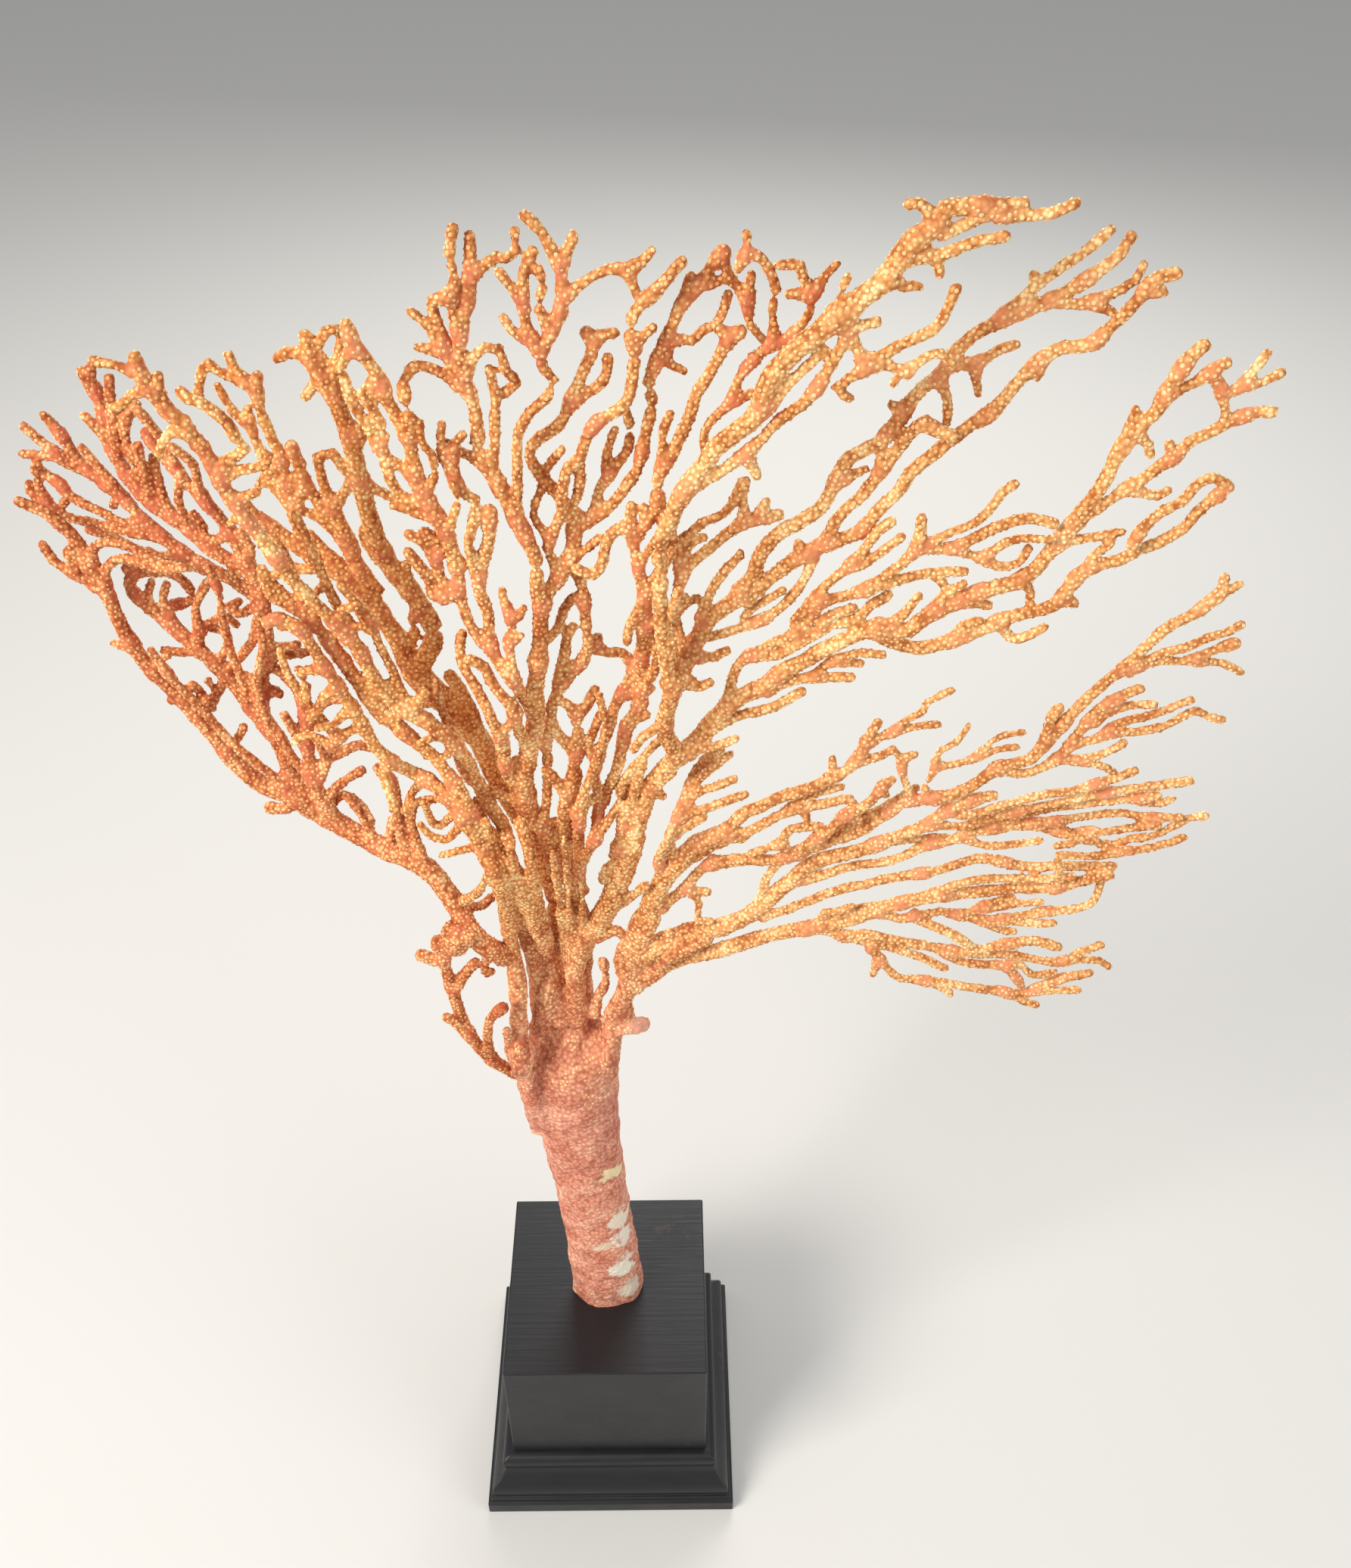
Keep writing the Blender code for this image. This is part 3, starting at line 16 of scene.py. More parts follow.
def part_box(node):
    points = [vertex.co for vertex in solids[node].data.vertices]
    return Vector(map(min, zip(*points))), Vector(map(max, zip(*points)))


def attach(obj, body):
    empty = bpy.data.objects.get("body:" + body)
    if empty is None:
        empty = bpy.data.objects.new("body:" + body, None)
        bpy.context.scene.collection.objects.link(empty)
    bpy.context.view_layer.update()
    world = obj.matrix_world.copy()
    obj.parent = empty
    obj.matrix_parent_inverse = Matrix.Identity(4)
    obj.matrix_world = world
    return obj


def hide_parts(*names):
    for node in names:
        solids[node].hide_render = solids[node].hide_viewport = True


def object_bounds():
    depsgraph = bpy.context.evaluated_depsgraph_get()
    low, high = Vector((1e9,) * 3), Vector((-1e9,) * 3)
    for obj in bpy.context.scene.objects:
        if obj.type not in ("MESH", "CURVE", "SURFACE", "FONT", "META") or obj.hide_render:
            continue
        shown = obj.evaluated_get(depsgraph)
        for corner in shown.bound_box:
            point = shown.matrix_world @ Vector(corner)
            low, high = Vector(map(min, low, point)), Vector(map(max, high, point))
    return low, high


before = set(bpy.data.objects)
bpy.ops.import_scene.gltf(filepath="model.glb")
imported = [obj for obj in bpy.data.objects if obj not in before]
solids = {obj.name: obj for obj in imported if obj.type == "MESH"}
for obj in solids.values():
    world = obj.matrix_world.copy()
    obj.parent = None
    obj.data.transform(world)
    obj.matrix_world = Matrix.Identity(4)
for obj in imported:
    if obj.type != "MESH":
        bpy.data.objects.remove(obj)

cad_box = [list(corner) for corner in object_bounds()]
print("solids loaded:", len(solids), "height in mm:", round(1000 * cad_box[1][2]))

# %% [markdown]
# The camera stands where the photographer stood: a little right of the fan, above it, looking down.
# Its place and turn were worked out from the plinth, whose edges are straight and square.
# The same viewpoint places every branch, because each lies on lines of sight of the photo.

# %% The viewpoint
PHOTO_WIDE = 1785
PHOTO_HIGH = 2072
SENSOR_MM = 36.0
NEAREST_SEEN = 0.01
VIEW_DISTANCE_PX = 2030.1
EYE = Vector((0.02076, -0.27147, 0.50766))
PITCH_DOWN = math.radians(40.18)
YAW = math.radians(-0.34)
ROLL = math.radians(-0.24)

VIEW_RIGHT = Vector((math.cos(YAW), math.sin(YAW), 0.0))
VIEW_AHEAD = Vector((-math.sin(YAW), math.cos(YAW), 0.0))
VIEW_FORWARD = VIEW_AHEAD * math.cos(PITCH_DOWN) - Vector((0.0, 0.0, 1.0)) * math.sin(PITCH_DOWN)
VIEW_UP = VIEW_AHEAD * math.sin(PITCH_DOWN) + Vector((0.0, 0.0, 1.0)) * math.cos(PITCH_DOWN)
IMAGE_RIGHT = math.cos(ROLL) * VIEW_RIGHT + math.sin(ROLL) * VIEW_UP
IMAGE_UP = math.cos(ROLL) * VIEW_UP - math.sin(ROLL) * VIEW_RIGHT


def view_ray(x, y):
    """The direction from the eye through a position in the photo, in pixels."""
    across = (x - PHOTO_WIDE / 2) * IMAGE_RIGHT
    up = (PHOTO_HIGH / 2 - y) * IMAGE_UP
    return (VIEW_FORWARD * VIEW_DISTANCE_PX + across + up).normalized()


def at_depth(x, y, depth):
    """The point behind a position in the photo that lies at a depth behind the trunk's plane."""
    ray = view_ray(x, y)
    return EYE + ray * ((depth - EYE.y) / ray.y)


camera = bpy.data.objects.new("camera", bpy.data.cameras.new("camera"))
bpy.context.scene.collection.objects.link(camera)
turn = Matrix((IMAGE_RIGHT, IMAGE_UP, -VIEW_FORWARD)).transposed().to_4x4()
camera.matrix_world = Matrix.Translation(EYE) @ turn
camera.data.sensor_width = SENSOR_MM
camera.data.lens = VIEW_DISTANCE_PX * SENSOR_MM / PHOTO_HIGH
camera.data.clip_start = NEAREST_SEEN
bpy.context.scene.camera = camera
print("lens in mm:", round(camera.data.lens, 2))

# %% [markdown]
# The light is that of a plain studio: one broad soft lamp from the left, as in the photo,
# a weaker one from the right to open the shadows, and one behind that draws the fan's edge.
# The standard view shows the colours as they were picked.

# %% Lights
LAMPS = (
    ("key", (-0.75, -0.55, 0.95), 0.55, 15.0, (1.0, 0.965, 0.92)),
    ("fill", (0.95, -0.60, 0.55), 0.80, 4.2, (0.93, 0.96, 1.0)),
    ("rim", (0.15, 0.90, 0.80), 0.60, 6.0, (1.0, 0.98, 0.95)),
)
LAMP_AIM = Vector((0.0, 0.0, 0.22))
SKY_TINT = (0.94, 0.96, 1.0, 1.0)
SKY_LIGHT = 0.42


def add_lamp(name, place, size, power, colour):
    lamp = bpy.data.objects.new(name, bpy.data.lights.new(name, "AREA"))
    lamp.location = place
    lamp.rotation_euler = (LAMP_AIM - lamp.location).to_track_quat("-Z", "Y").to_euler()
    lamp.data.size = size
    lamp.data.energy = power
    lamp.data.color = colour
    bpy.context.scene.collection.objects.link(lamp)


for lamp in LAMPS:
    add_lamp(*lamp)
world = bpy.data.worlds.new("studio")
world.use_nodes = True
world.node_tree.nodes["Background"].inputs["Color"].default_value = SKY_TINT
world.node_tree.nodes["Background"].inputs["Strength"].default_value = SKY_LIGHT
bpy.context.scene.world = world
bpy.context.scene.view_settings.view_transform = "Standard"
print("lamps:", len(LAMPS))

# %% [markdown]
# Two small helpers serve every finish. One turns a colour picked as sRGB hex into the linear
# values that the renderer works in. The other adds a node with its settings and its links.

# %% Helpers for materials and node trees
SRGB_LINEAR_PART = 0.04045


def hex_colour(code):
    """An sRGB hex colour as linear values, opaque."""
    parts = [int(code[i:i + 2], 16) / 255.0 for i in (0, 2, 4)]
    linear = [p / 12.92 if p <= SRGB_LINEAR_PART else ((p + 0.055) / 1.055) ** 2.4 for p in parts]
    return (*linear, 1.0)


def put(tree, kind, values=None, links=None, **settings):
    """Add a node to a tree, with its settings, its socket values and what feeds it."""
    made = tree.nodes.new(kind)
    for name, value in settings.items():
        setattr(made, name, value)
    for socket, value in (values or {}).items():
        made.inputs[socket].default_value = value
    for socket, source in (links or {}).items():
        tree.links.new(source, made.inputs[socket])
    return made


def new_material(name):
    """A material with a fresh tree: returns it, its tree and its shader."""
    material = bpy.data.materials.new(name)
    material.use_nodes = True
    return material, material.node_tree, material.node_tree.nodes["Principled BSDF"]


def link_object(name, data):
    """A new object with this data, in the scene."""
    made = bpy.data.objects.new(name, data)
    bpy.context.scene.collection.objects.link(made)
    return made


def add_piece(name, mesh, material):
    """A mesh as an object of the scene, at the origin, with one material."""
    mesh.name = name
    mesh.materials.clear()
    mesh.materials.append(material)
    return link_object(name, mesh)


print("helpers ready")

# %% [markdown]
# The floor is plain pale paper. It isn't part of the object.

# %% Floor
FLOOR_HALF = 4.0
FLOOR_GREY = "D9D7D2"
FLOOR_ROUGHNESS = 0.9
floor_paper, tree, shader = new_material("matt_studio_paper")
shader.inputs["Base Color"].default_value = hex_colour(FLOOR_GREY)
shader.inputs["Roughness"].default_value = FLOOR_ROUGHNESS
floor_mesh = bpy.data.meshes.new("floor")
floor_mesh.from_pydata([(x * FLOOR_HALF, y * FLOOR_HALF, 0.0)
                        for x, y in ((-1, -1), (1, -1), (1, 1), (-1, 1))], [], [(0, 1, 2, 3)])
floor = add_piece("floor", floor_mesh, floor_paper)
print("floor width in m:", 2 * FLOOR_HALF)

# %% [markdown]
# The fan grew as one piece, but it is easier to handle as a trunk and a few wings.
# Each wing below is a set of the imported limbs. Every wing becomes one continuous skin,
# so that no seam shows where one packed limb carries the next.

# %% The wings and the limbs in them
WINGS = {
    "trunk": ("trunk", "left_limb"),
    "front_wing": ("front_low_limb", "front_middle_limb", "front_upper_limb", "front_far_limb",
                   "plate_limb", "plate_long_limb", "front_fan_limb", "front_right_limb",
                   "tall_left_limb", "tall_fan_limb"),
    "back_wing": ("back_left_root", "back_outer_limb", "back_middle_limb", "back_inner_limb",
                  "back_loop_limb", "back_upper_limb", "back_low_limb", "low_left_branch"),
    "crown": ("crown_left_limb", "crown_tall_limb", "crown_middle_limb", "crown_centre_limb",
              "crown_column_limb", "crown_hanging_limb"),
    "upper_right_wing": ("right_upper_root", "right_upper_limb", "right_top_limb",
                         "right_crown_limb", "right_crown_thick_limb", "right_long_limb",
                         "right_middle_root", "right_outer_limb", "right_middle_limb"),
    "lower_right_wing": ("right_low_root", "right_lower_limb", "right_loop_limb",
                         "right_far_limb", "right_wing_limb", "right_bottom_limb"),
}
print("limbs in wings:", sum(len(limbs) for limbs in WINGS.values()), "of", len(solids) - 2)

# %% [markdown]
# A packed limb is a coarse four-sided tube. The real twig is round, and blunt at its tip.
# So each branch is drawn again as a round tube on the same route: its thickness in mm at foot
# and tip, then its positions in the photo. Each limb is given after the limb that carries it.
# The first branch of a limb is its stem, and the others are the twigs that spring from it.
# The trunk's first one is its body, and the others are the strands that it divides into.
# A line that is set in goes on with the branch above it.

# %% Routes of the limbs
LIMBS = (
    ("trunk", None, """
22.5 24.8: 804,1688 797,1650 784,1580 770,1510 761,1450 757,1388
3.2 2.8: 712,1370 710,1335 707,1300 704,1285 698,1255 692,1225 686,1200 680,1175 674,1150
5.6 5.2: 742,1350 738,1320 733,1290 724,1262 714,1230 705,1205 694,1185 682,1160 668,1140
    650,1115 632,1092
4.6 4.2: 757,1372 752,1340 748,1300 740,1255 735,1220 732,1187 722,1162 715,1130 710,1105 703,1080
5.6 5.0: 762,1370 762,1335 760,1292 765,1255 765,1220 760,1190 752,1155 746,1117 745,1092
5.6 4.8: 804,1375 812,1342 826,1310 832,1285 838,1265 846,1243 858,1222 865,1200
4.4: 772,1240 790,1220 810,1187 827,1155 835,1130 842,1105
5.0: 830,1285 835,1255 847,1220 860,1192 875,1167 897,1137
4.6: 810,1342 830,1305 860,1280 892,1260 930,1240
5.0: 840,1265 852,1255 885,1240 922,1230
3.0: 785,1342 790,1317 800,1297 797,1272
2.8 2.4: 812,1300 817,1270 825,1240 817,1230 807,1230 790,1242
5.2: 712,1362 720,1330 725,1305
4.2: 748,1392 745,1355 745,1305
4.6 4.4: 812,1356 830,1356 848,1355
"""),
    ("left_limb", "trunk", """
5.2 4.0: 714,1490 703,1458 696,1432 689,1400 686,1365 685,1335 684,1300 680,1270 674,1240 670,1210
    664,1180 655,1152 642,1130 628,1105 615,1082
2.2: 655,1150 642,1160 632,1178 612,1190
"""),
    ("low_left_branch", "trunk", """
3.6 3.0: 709,1440 692,1424 672,1413 655,1403 640,1390 622,1370 610,1345 601,1318 593,1292 587,1268
    590,1248 602,1232
2.6: 650,1400 645,1378 645,1355 652,1341 664,1332
"""),
    ("front_low_limb", "left_limb", """
3.4 2.3: 600,1060 578,1040 548,1022 520,1008 497,988 481,962 465,935 447,907 428,880 411,852 393,828
    370,816 352,822
592,1052 572,1056 552,1060 534,1070
600,1084 578,1092 566,1076 560,1060
610,1112 590,1110 572,1106 556,1090
563,1030 548,1042 540,1058 538,1075
2.4: 515,1005 507,1022 515,1045 522,1070
466,936 450,948 438,960 420,962
448,908 430,918 420,935 410,950
430,882 410,885 395,890 402,905 405,925
"""),
    ("front_middle_limb", "left_limb", """
3.4 2.2: 640,1126 624,1080 604,1045 583,1010 556,986 530,965 505,945 485,920 466,895 450,868 433,846
    412,822 390,803 365,793 352,775 346,752
505,945 520,960 545,975 565,1000
"""),
    ("front_upper_limb", "trunk", """
3.8 2.8: 676,1122 668,1098 655,1076 640,1052 625,1022 608,993 585,968 558,950 532,935 507,915
    491,890 477,862 460,842 443,822 425,806 405,785 385,765 368,742
2.0: 600,985 590,975 570,975 552,985
"""),
    ("front_far_limb", "front_upper_limb", """
2.9 2.3: 366,738 350,718 332,695 312,668 292,640 274,603 258,580 238,558 216,538 200,518 188,500
    178,472
292,632 315,622 335,618 350,615 357,600 348,594
2.4: 291,622 305,605 325,594 312,580 303,562 284,545 266,532 250,528 239,518
"""),
    ("plate_limb", "trunk", """
4.0 6.4: 700,1120 690,1090 678,1065 662,1040 648,1012 638,985 622,962 597,935 572,912 548,888
2.8 3.2: 640,985 626,945 610,915 595,893
"""),
    ("plate_long_limb", "plate_limb", """
4.6 2.4: 541,874 530,855 513,828 497,805 478,785 458,766 438,750 415,738 394,722 372,705 350,690
    332,676 320,660
500,808 515,820 530,835 545,850
2.2: 478,785 468,765 455,748 440,735 425,722 410,706
2.4: 436,750 405,752 385,750 365,760
"""),
    ("front_fan_limb", "plate_long_limb", """
2.6 2.1: 415,736 398,708 390,690 387,668 380,640 371,605 358,577 347,548 338,520 325,503 310,488
    303,471
2.1: 330,507 308,500 288,490 275,478 264,500 263,528
2.0: 386,660 370,640 356,622 345,602 337,580 330,560 327,540
1.9: 314,570 308,545 298,528 288,510
"""),
    ("front_right_limb", "plate_long_limb", """
3.0 2.2: 505,812 496,792 485,772 476,752 466,733 452,712 434,688 420,664 404,640 393,612 385,590
3.0 2.0: 466,733 455,700 442,672 430,645 423,622 418,604
2.2: 440,668 455,650 462,632 450,615 440,598 425,602
"""),
    ("tall_left_limb", "plate_limb", """
4.6 3.4: 556,868 572,852 572,828 558,803 541,779 521,755 506,730 494,700 484,668 476,635 468,600
    460,568 450,543 439,520 424,495 410,470 404,447
2.4: 438,520 442,495 445,478 450,455 445,434 432,436 422,452 426,472
2.0: 521,755 500,742 486,722 478,700
"""),
    ("back_left_root", "left_limb", """
5.6 4.8: 668,1262 645,1252 626,1236 611,1213 600,1192 585,1170 567,1150 540,1134 513,1124 488,1111
    450,1090 412,1070
2.6 2.2: 565,1148 553,1118 543,1085 548,1060
3.0: 540,1130 530,1100 524,1065 518,1035 500,1015
3.0: 502,1132 515,1112 520,1085
2.4: 497,1116 486,1092 470,1065 458,1052
2.4: 430,1080 440,1062 455,1050 475,1062 490,1085
2.4: 610,1210 618,1200 640,1195 650,1185
"""),
    ("back_outer_limb", "back_left_root", """
4.8 2.6: 410,1066 398,1058 370,1046 340,1033 308,1004 288,978 270,956 250,934 233,914 200,884
    171,847 154,812 138,777 121,748 103,715 82,695 62,678 46,671 25,663
2.2: 121,746 125,722 145,716 170,722 195,735 220,746 245,750
2.2: 140,775 141,750 158,738 182,742 205,752 232,752
2.2: 130,776 112,765 86,752 70,740 57,720
2.4: 240,922 255,905 268,920 280,935
2.0: 262,945 275,925 285,915 275,900
"""),
    ("back_middle_limb", "back_left_root", """
4.8 2.3: 432,1082 414,1050 392,1025 380,1005 368,978 350,955 344,928 345,897 352,862 351,831 346,790
    338,762 321,734 304,703 288,682 271,663 250,640 232,620 211,599 193,572
2.6: 344,965 325,930 308,900 298,880
2.4: 348,868 380,865 405,862
2.2: 343,800 330,805 315,812 300,800 315,795
2.2: 271,663 262,640 256,615 240,600 225,590
2.2: 232,620 222,592 205,570 192,552 180,540
"""),
    ("back_inner_limb", "back_left_root", """
3.6 2.4: 452,1091 425,1055 412,1020 406,990 404,960 400,930 388,905 372,888 358,880
2.6: 412,1022 430,1005 450,995 472,985 492,988
2.4: 404,958 418,940 435,925 455,925
2.4: 412,1030 390,1005 375,985 368,968
2.4: 426,1062 445,1040 465,1025 478,1018
"""),
    ("back_loop_limb", "back_middle_limb", """
3.6 2.2: 351,955 330,930 305,900 285,878 262,858 240,838 222,822 200,806 183,790 170,773 176,758
    200,755 225,757 245,770 255,790 240,797 222,802
2.4: 300,890 320,865 335,845 340,820
2.2: 262,857 262,830 258,805 268,780 285,760 300,765
2.2: 262,836 280,822 300,815 312,825
2.2: 285,878 300,855 298,835 280,830
2.0: 222,822 205,805 195,785 200,768
2.0: 232,830 225,812 215,790 220,772
"""),
    ("back_upper_limb", "back_middle_limb", """
3.4 2.2: 338,762 318,748 298,738 275,722 250,700 225,682 200,664 180,645 163,620 150,595 143,570
    136,545 128,520 121,498 122,476 140,480
2.4: 166,628 158,600 152,575 150,550 145,525 145,500
2.4: 184,648 180,622 172,598 165,575 168,550 180,535
2.4: 228,685 215,655 208,630 203,605
"""),
    ("back_low_limb", "back_middle_limb", """
3.2 2.2: 345,790 320,775 295,760 268,748 240,728 210,705 185,683 165,660 140,640 118,622 97,600
    85,580 70,562 58,549
2.2: 120,623 92,615 75,600 60,588 45,575 32,564
2.2: 190,690 165,692 140,680 115,668 92,655 80,640 62,628 47,616
2.2: 212,708 180,705 150,698 120,690 95,685 70,673 48,657 30,640
2.2: 240,730 210,735 180,725 150,708 120,699
2.2: 266,747 240,748 218,740 195,728
2.2: 165,660 150,640 125,612 108,592
"""),
    ("crown_left_limb", "trunk", """
4.6 3.8: 738,1150 732,1132 726,1112 716,1090 700,1078 692,1055 692,1030 698,1005 700,985 706,965
    709,940 707,915 711,880
2.4: 716,1090 722,1060 724,1020 722,990 714,970
2.6 2.4: 668,1060 668,1020 668,985 660,968 675,958 678,945
2.4: 668,1012 664,992 659,972 650,948 638,925 624,900 612,880 607,855 610,838
2.6: 697,990 685,962 672,930 652,905 640,882 622,872
2.8: 708,955 690,918 674,895 656,872 647,845 645,812 635,785 633,760 640,735 646,705 647,675
2.4: 643,850 625,832 613,803 606,775 606,752
2.4: 633,762 622,738 620,712 626,685 628,660 612,650 600,632 596,602
2.0: 679,898 676,870 671,850 677,835 673,812 665,792 664,780
2.8 2.4: 604,775 588,790 570,785 566,765 550,742 540,730
2.4: 590,788 582,760 574,738 562,718 540,706
1.8: 600,632 585,605 582,580 584,560
"""),
    ("tall_fan_limb", "crown_left_limb", """
3.2 2.4: 607,742 592,712 580,688 566,662 552,640 546,612 541,585 528,558 514,533 505,508 495,490
    480,471 466,455 458,428
3.0 2.6: 541,575 540,550 536,530 533,510
2.2: 549,628 533,618 515,608 500,590 490,570 475,548 462,522 455,500
2.0: 500,588 508,575 500,553 488,535 478,518
2.2: 566,662 548,662 530,655 515,632 508,610
1.8: 560,650 575,630 570,600 560,590 555,560
1.9: 590,700 600,680 605,655 597,640
"""),
    ("crown_tall_limb", "crown_left_limb", """
3.6 2.3: 711,876 714,841 714,802 709,769 709,744 699,718 683,688 670,662 658,639 648,621 632,598
    630,560 625,530 612,505 610,470 608,440 617,400 622,350 620,312
2.2: 608,440 595,400 600,370 594,335 598,303
2.2: 612,508 600,490 590,465 583,440 570,404
2.2: 615,512 600,505 578,490 550,483 535,500
2.2: 648,621 654,590 653,560 655,530 650,500 647,488
2.0: 622,362 640,350 655,338 670,342 682,330 680,305
2.2: 612,500 622,480 640,458 660,462 668,490 683,505 665,520
2.2: 683,688 683,660 684,630 683,600 685,570 700,545 718,530 732,503 720,490 714,468 730,438 740,410
    743,385 742,352 758,312
2.2: 714,466 697,435 690,395 692,360 703,332
2.2: 743,354 728,330 715,305 693,284
2.0: 728,430 712,408 717,380 712,356
2.0: 745,393 765,378 790,362 815,353 830,360 840,388
"""),
    ("crown_middle_limb", "crown_tall_limb", """
3.2 2.6: 716,800 722,785 740,760 752,735 760,705 766,688
2.8 2.2: 684,645 700,602 738,562 755,527 770,492 785,457 776,440
2.2: 757,530 790,510 802,492 804,473
2.4: 764,690 742,675 745,640 750,618 766,605 774,580 790,556 820,540 832,525 836,490 840,465 833,440
    838,412 860,390 880,370 900,346
2.2: 716,745 724,725 732,700 742,676
2.2: 757,706 757,672 766,642 766,610
2.4: 772,690 790,680 808,667 826,644 841,622 850,590 856,560 862,530 856,508 866,480 880,450 892,420
    905,395 925,375 940,352 955,334
2.2: 786,683 792,648 812,618 830,592 832,562 826,542
1.9: 700,705 704,680 714,650 722,620 742,594
2.0: 868,478 885,450 915,450 930,435 945,430 955,412 962,388
1.8: 926,376 960,370 975,380 988,400 990,428 1010,450
"""),
    ("crown_centre_limb", "trunk", """
3.4 2.6: 748,1138 745,1100 745,1070 749,1048 757,1020 762,995 764,965 762,945 776,932 786,912
2.8 2.4: 724,990 730,960 730,930 742,905 757,888 770,872 777,850 774,820 772,795 766,765 755,750
2.2: 766,790 758,790 745,805 738,830 722,845
2.2: 768,876 750,885 748,865 748,845 757,828
"""),
    ("crown_column_limb", "trunk", """
3.0 2.4: 768,1178 765,1150 764,1120 765,1098 767,1078 775,1060 790,1052 786,1030 788,1010 795,985
    804,965 812,935 823,912 833,893 835,875 822,862 800,862 785,853
2.2: 786,1000 778,985 785,965 792,945
2.4: 777,1150 782,1115 790,1080 792,1060
2.2: 785,1112 807,1080 820,1060 832,1040
2.8 3.0: 795,1058 812,1025 822,990 828,960 846,930
"""),
    ("crown_hanging_limb", "crown_column_limb", """
3.0 2.4: 846,930 848,900 848,865 849,828 852,800 853,785 868,762 880,739 890,715 878,690 870,665
    868,640 876,615 888,600 900,575 912,548 920,520 935,498 950,470 965,445 979,437
2.2: 853,785 845,760 840,735 833,700 834,668
2.2: 853,785 845,805 832,825 828,846
2.0: 852,750 864,718 877,693
2.2: 855,825 875,815 888,802 898,778
2.2: 862,915 866,885 866,858
1.9: 877,612 875,575 885,547
2.4: 834,700 820,697 803,712 797,740 785,760 762,752
2.0: 878,690 895,660 915,625 930,602 930,572 946,550 966,530 976,500 995,476 1020,455 1045,450
2.0: 1022,455 1022,430 1020,410 1025,385 1018,360 1005,340 986,332 987,311
2.0: 1045,448 1070,412 1075,390 1060,365 1058,350 1032,350
"""),
    ("right_upper_root", "trunk", """
5.0 4.4: 818,1162 826,1140 833,1115 841,1090 848,1068 858,1045 870,1026 884,1010 898,998
"""),
    ("right_upper_limb", "right_upper_root", """
4.0 3.4: 897,996 884,980 878,958 884,930 892,905 902,885 912,862 926,835 940,815 958,802 975,788
2.2: 925,820 940,780 960,752 978,733
2.4: 890,862 893,820 895,785 905,755 925,735 950,715 975,695 1000,685 1030,680
2.0: 888,760 895,720 910,705 930,690 955,680 970,660 980,636
2.2: 880,955 862,965 848,975 838,990
"""),
    ("right_top_limb", "right_upper_limb", """
3.4 2.3: 976,785 993,765 1003,737 1018,714 1039,699 1059,688 1082,673 1095,655 1105,630 1122,605
    1160,585 1180,565 1200,535 1220,510 1240,500 1260,470 1290,440 1320,425 1350,412 1380,400
    1410,385 1450,360 1480,335 1495,313
2.2: 1325,418 1360,385 1400,355 1430,335 1450,320 1468,304
2.0: 1390,398 1430,402 1470,388 1500,370 1511,351
2.2: 1256,480 1290,480 1320,462 1342,455
"""),
    ("right_crown_limb", "right_upper_limb", """
3.0 4.2: 888,905 878,870 874,830 872,790 874,755 870,720 885,690 900,655 930,615 945,592 962,578
    990,558 1005,540 1012,512 1030,484 1055,460 1080,442 1100,424
2.4: 904,650 925,638 950,625 985,600 1010,576 1030,556 1060,535 1080,512 1092,492 1106,468 1118,448
2.0: 1016,538 1045,505 1070,480 1090,464
2.2: 1104,426 1125,445 1135,465 1142,482
2.2: 1140,478 1165,470 1190,455 1215,445 1240,430 1255,402 1263,383
2.0: 1143,484 1175,483 1195,492 1180,505 1172,525 1178,545
2.0: 1145,486 1120,502 1103,514 1122,526
2.0: 1195,494 1215,478 1240,466 1258,479
"""),
    ("right_crown_thick_limb", "right_crown_limb", """
4.4 2.8: 1103,422 1125,405 1150,385 1170,368 1188,340 1210,315 1235,298 1252,273 1275,250 1300,226
    1325,221
2.2: 1240,308 1270,300 1300,285 1330,270 1345,250 1358,243
2.2: 1318,284 1350,285 1390,281 1421,269
2.2: 1198,342 1240,338 1280,322 1328,313
"""),
    ("right_long_limb", "right_upper_limb", """
3.2 2.4: 980,795 1013,768 1039,747 1059,734 1082,722 1110,713 1141,699 1161,673 1190,645 1202,625
    1240,595 1265,575 1285,560 1310,545 1340,510 1370,480 1400,460 1440,455 1470,430 1500,400
    1515,380 1532,365 1555,361
2.6: 1092,716 1102,691 1120,671 1141,653 1165,620 1190,590 1215,562 1240,568 1258,576
2.2: 1075,728 1072,745 1060,770 1044,791 1026,808 1003,821 982,829 957,836 937,842
1.9: 1003,820 980,826 988,808 1013,793 1034,780
"""),
    ("right_middle_root", "right_upper_root", """
4.0 3.4: 905,997 926,972 940,952 962,933 988,916 1013,903 1030,890 1059,875 1080,863 1100,853
    1118,844 1141,834 1160,828
2.4: 960,932 968,895 982,872 1003,860 1026,848 1054,836 1070,818 1082,795
2.4: 1003,878 1026,866 1054,852 1077,838 1097,826 1120,822 1137,814 1150,800 1173,786
2.2: 1053,836 1050,820 1062,806 1077,790 1095,770 1125,745 1143,724 1161,701 1178,689
2.0: 1125,748 1146,742 1168,727 1192,709
2.4: 1090,790 1115,788 1141,780 1158,770 1179,755 1199,739 1217,724 1258,725 1290,710 1320,695
    1360,685 1392,692
2.2: 1150,778 1180,770 1204,762 1240,756 1274,755
2.0: 1222,722 1250,706 1290,690 1310,670 1325,650 1341,640
2.0: 1262,724 1300,740 1320,748 1345,745 1358,725
1.9: 1300,738 1320,722 1345,712 1391,712
2.2: 1010,914 1040,902 1070,895 1124,895
2.0: 1078,895 1088,880 1105,872 1130,863 1166,865
2.4: 925,980 945,962 975,946 1010,938 1035,928 1059,914
2.2: 918,1000 944,987 971,976
"""),
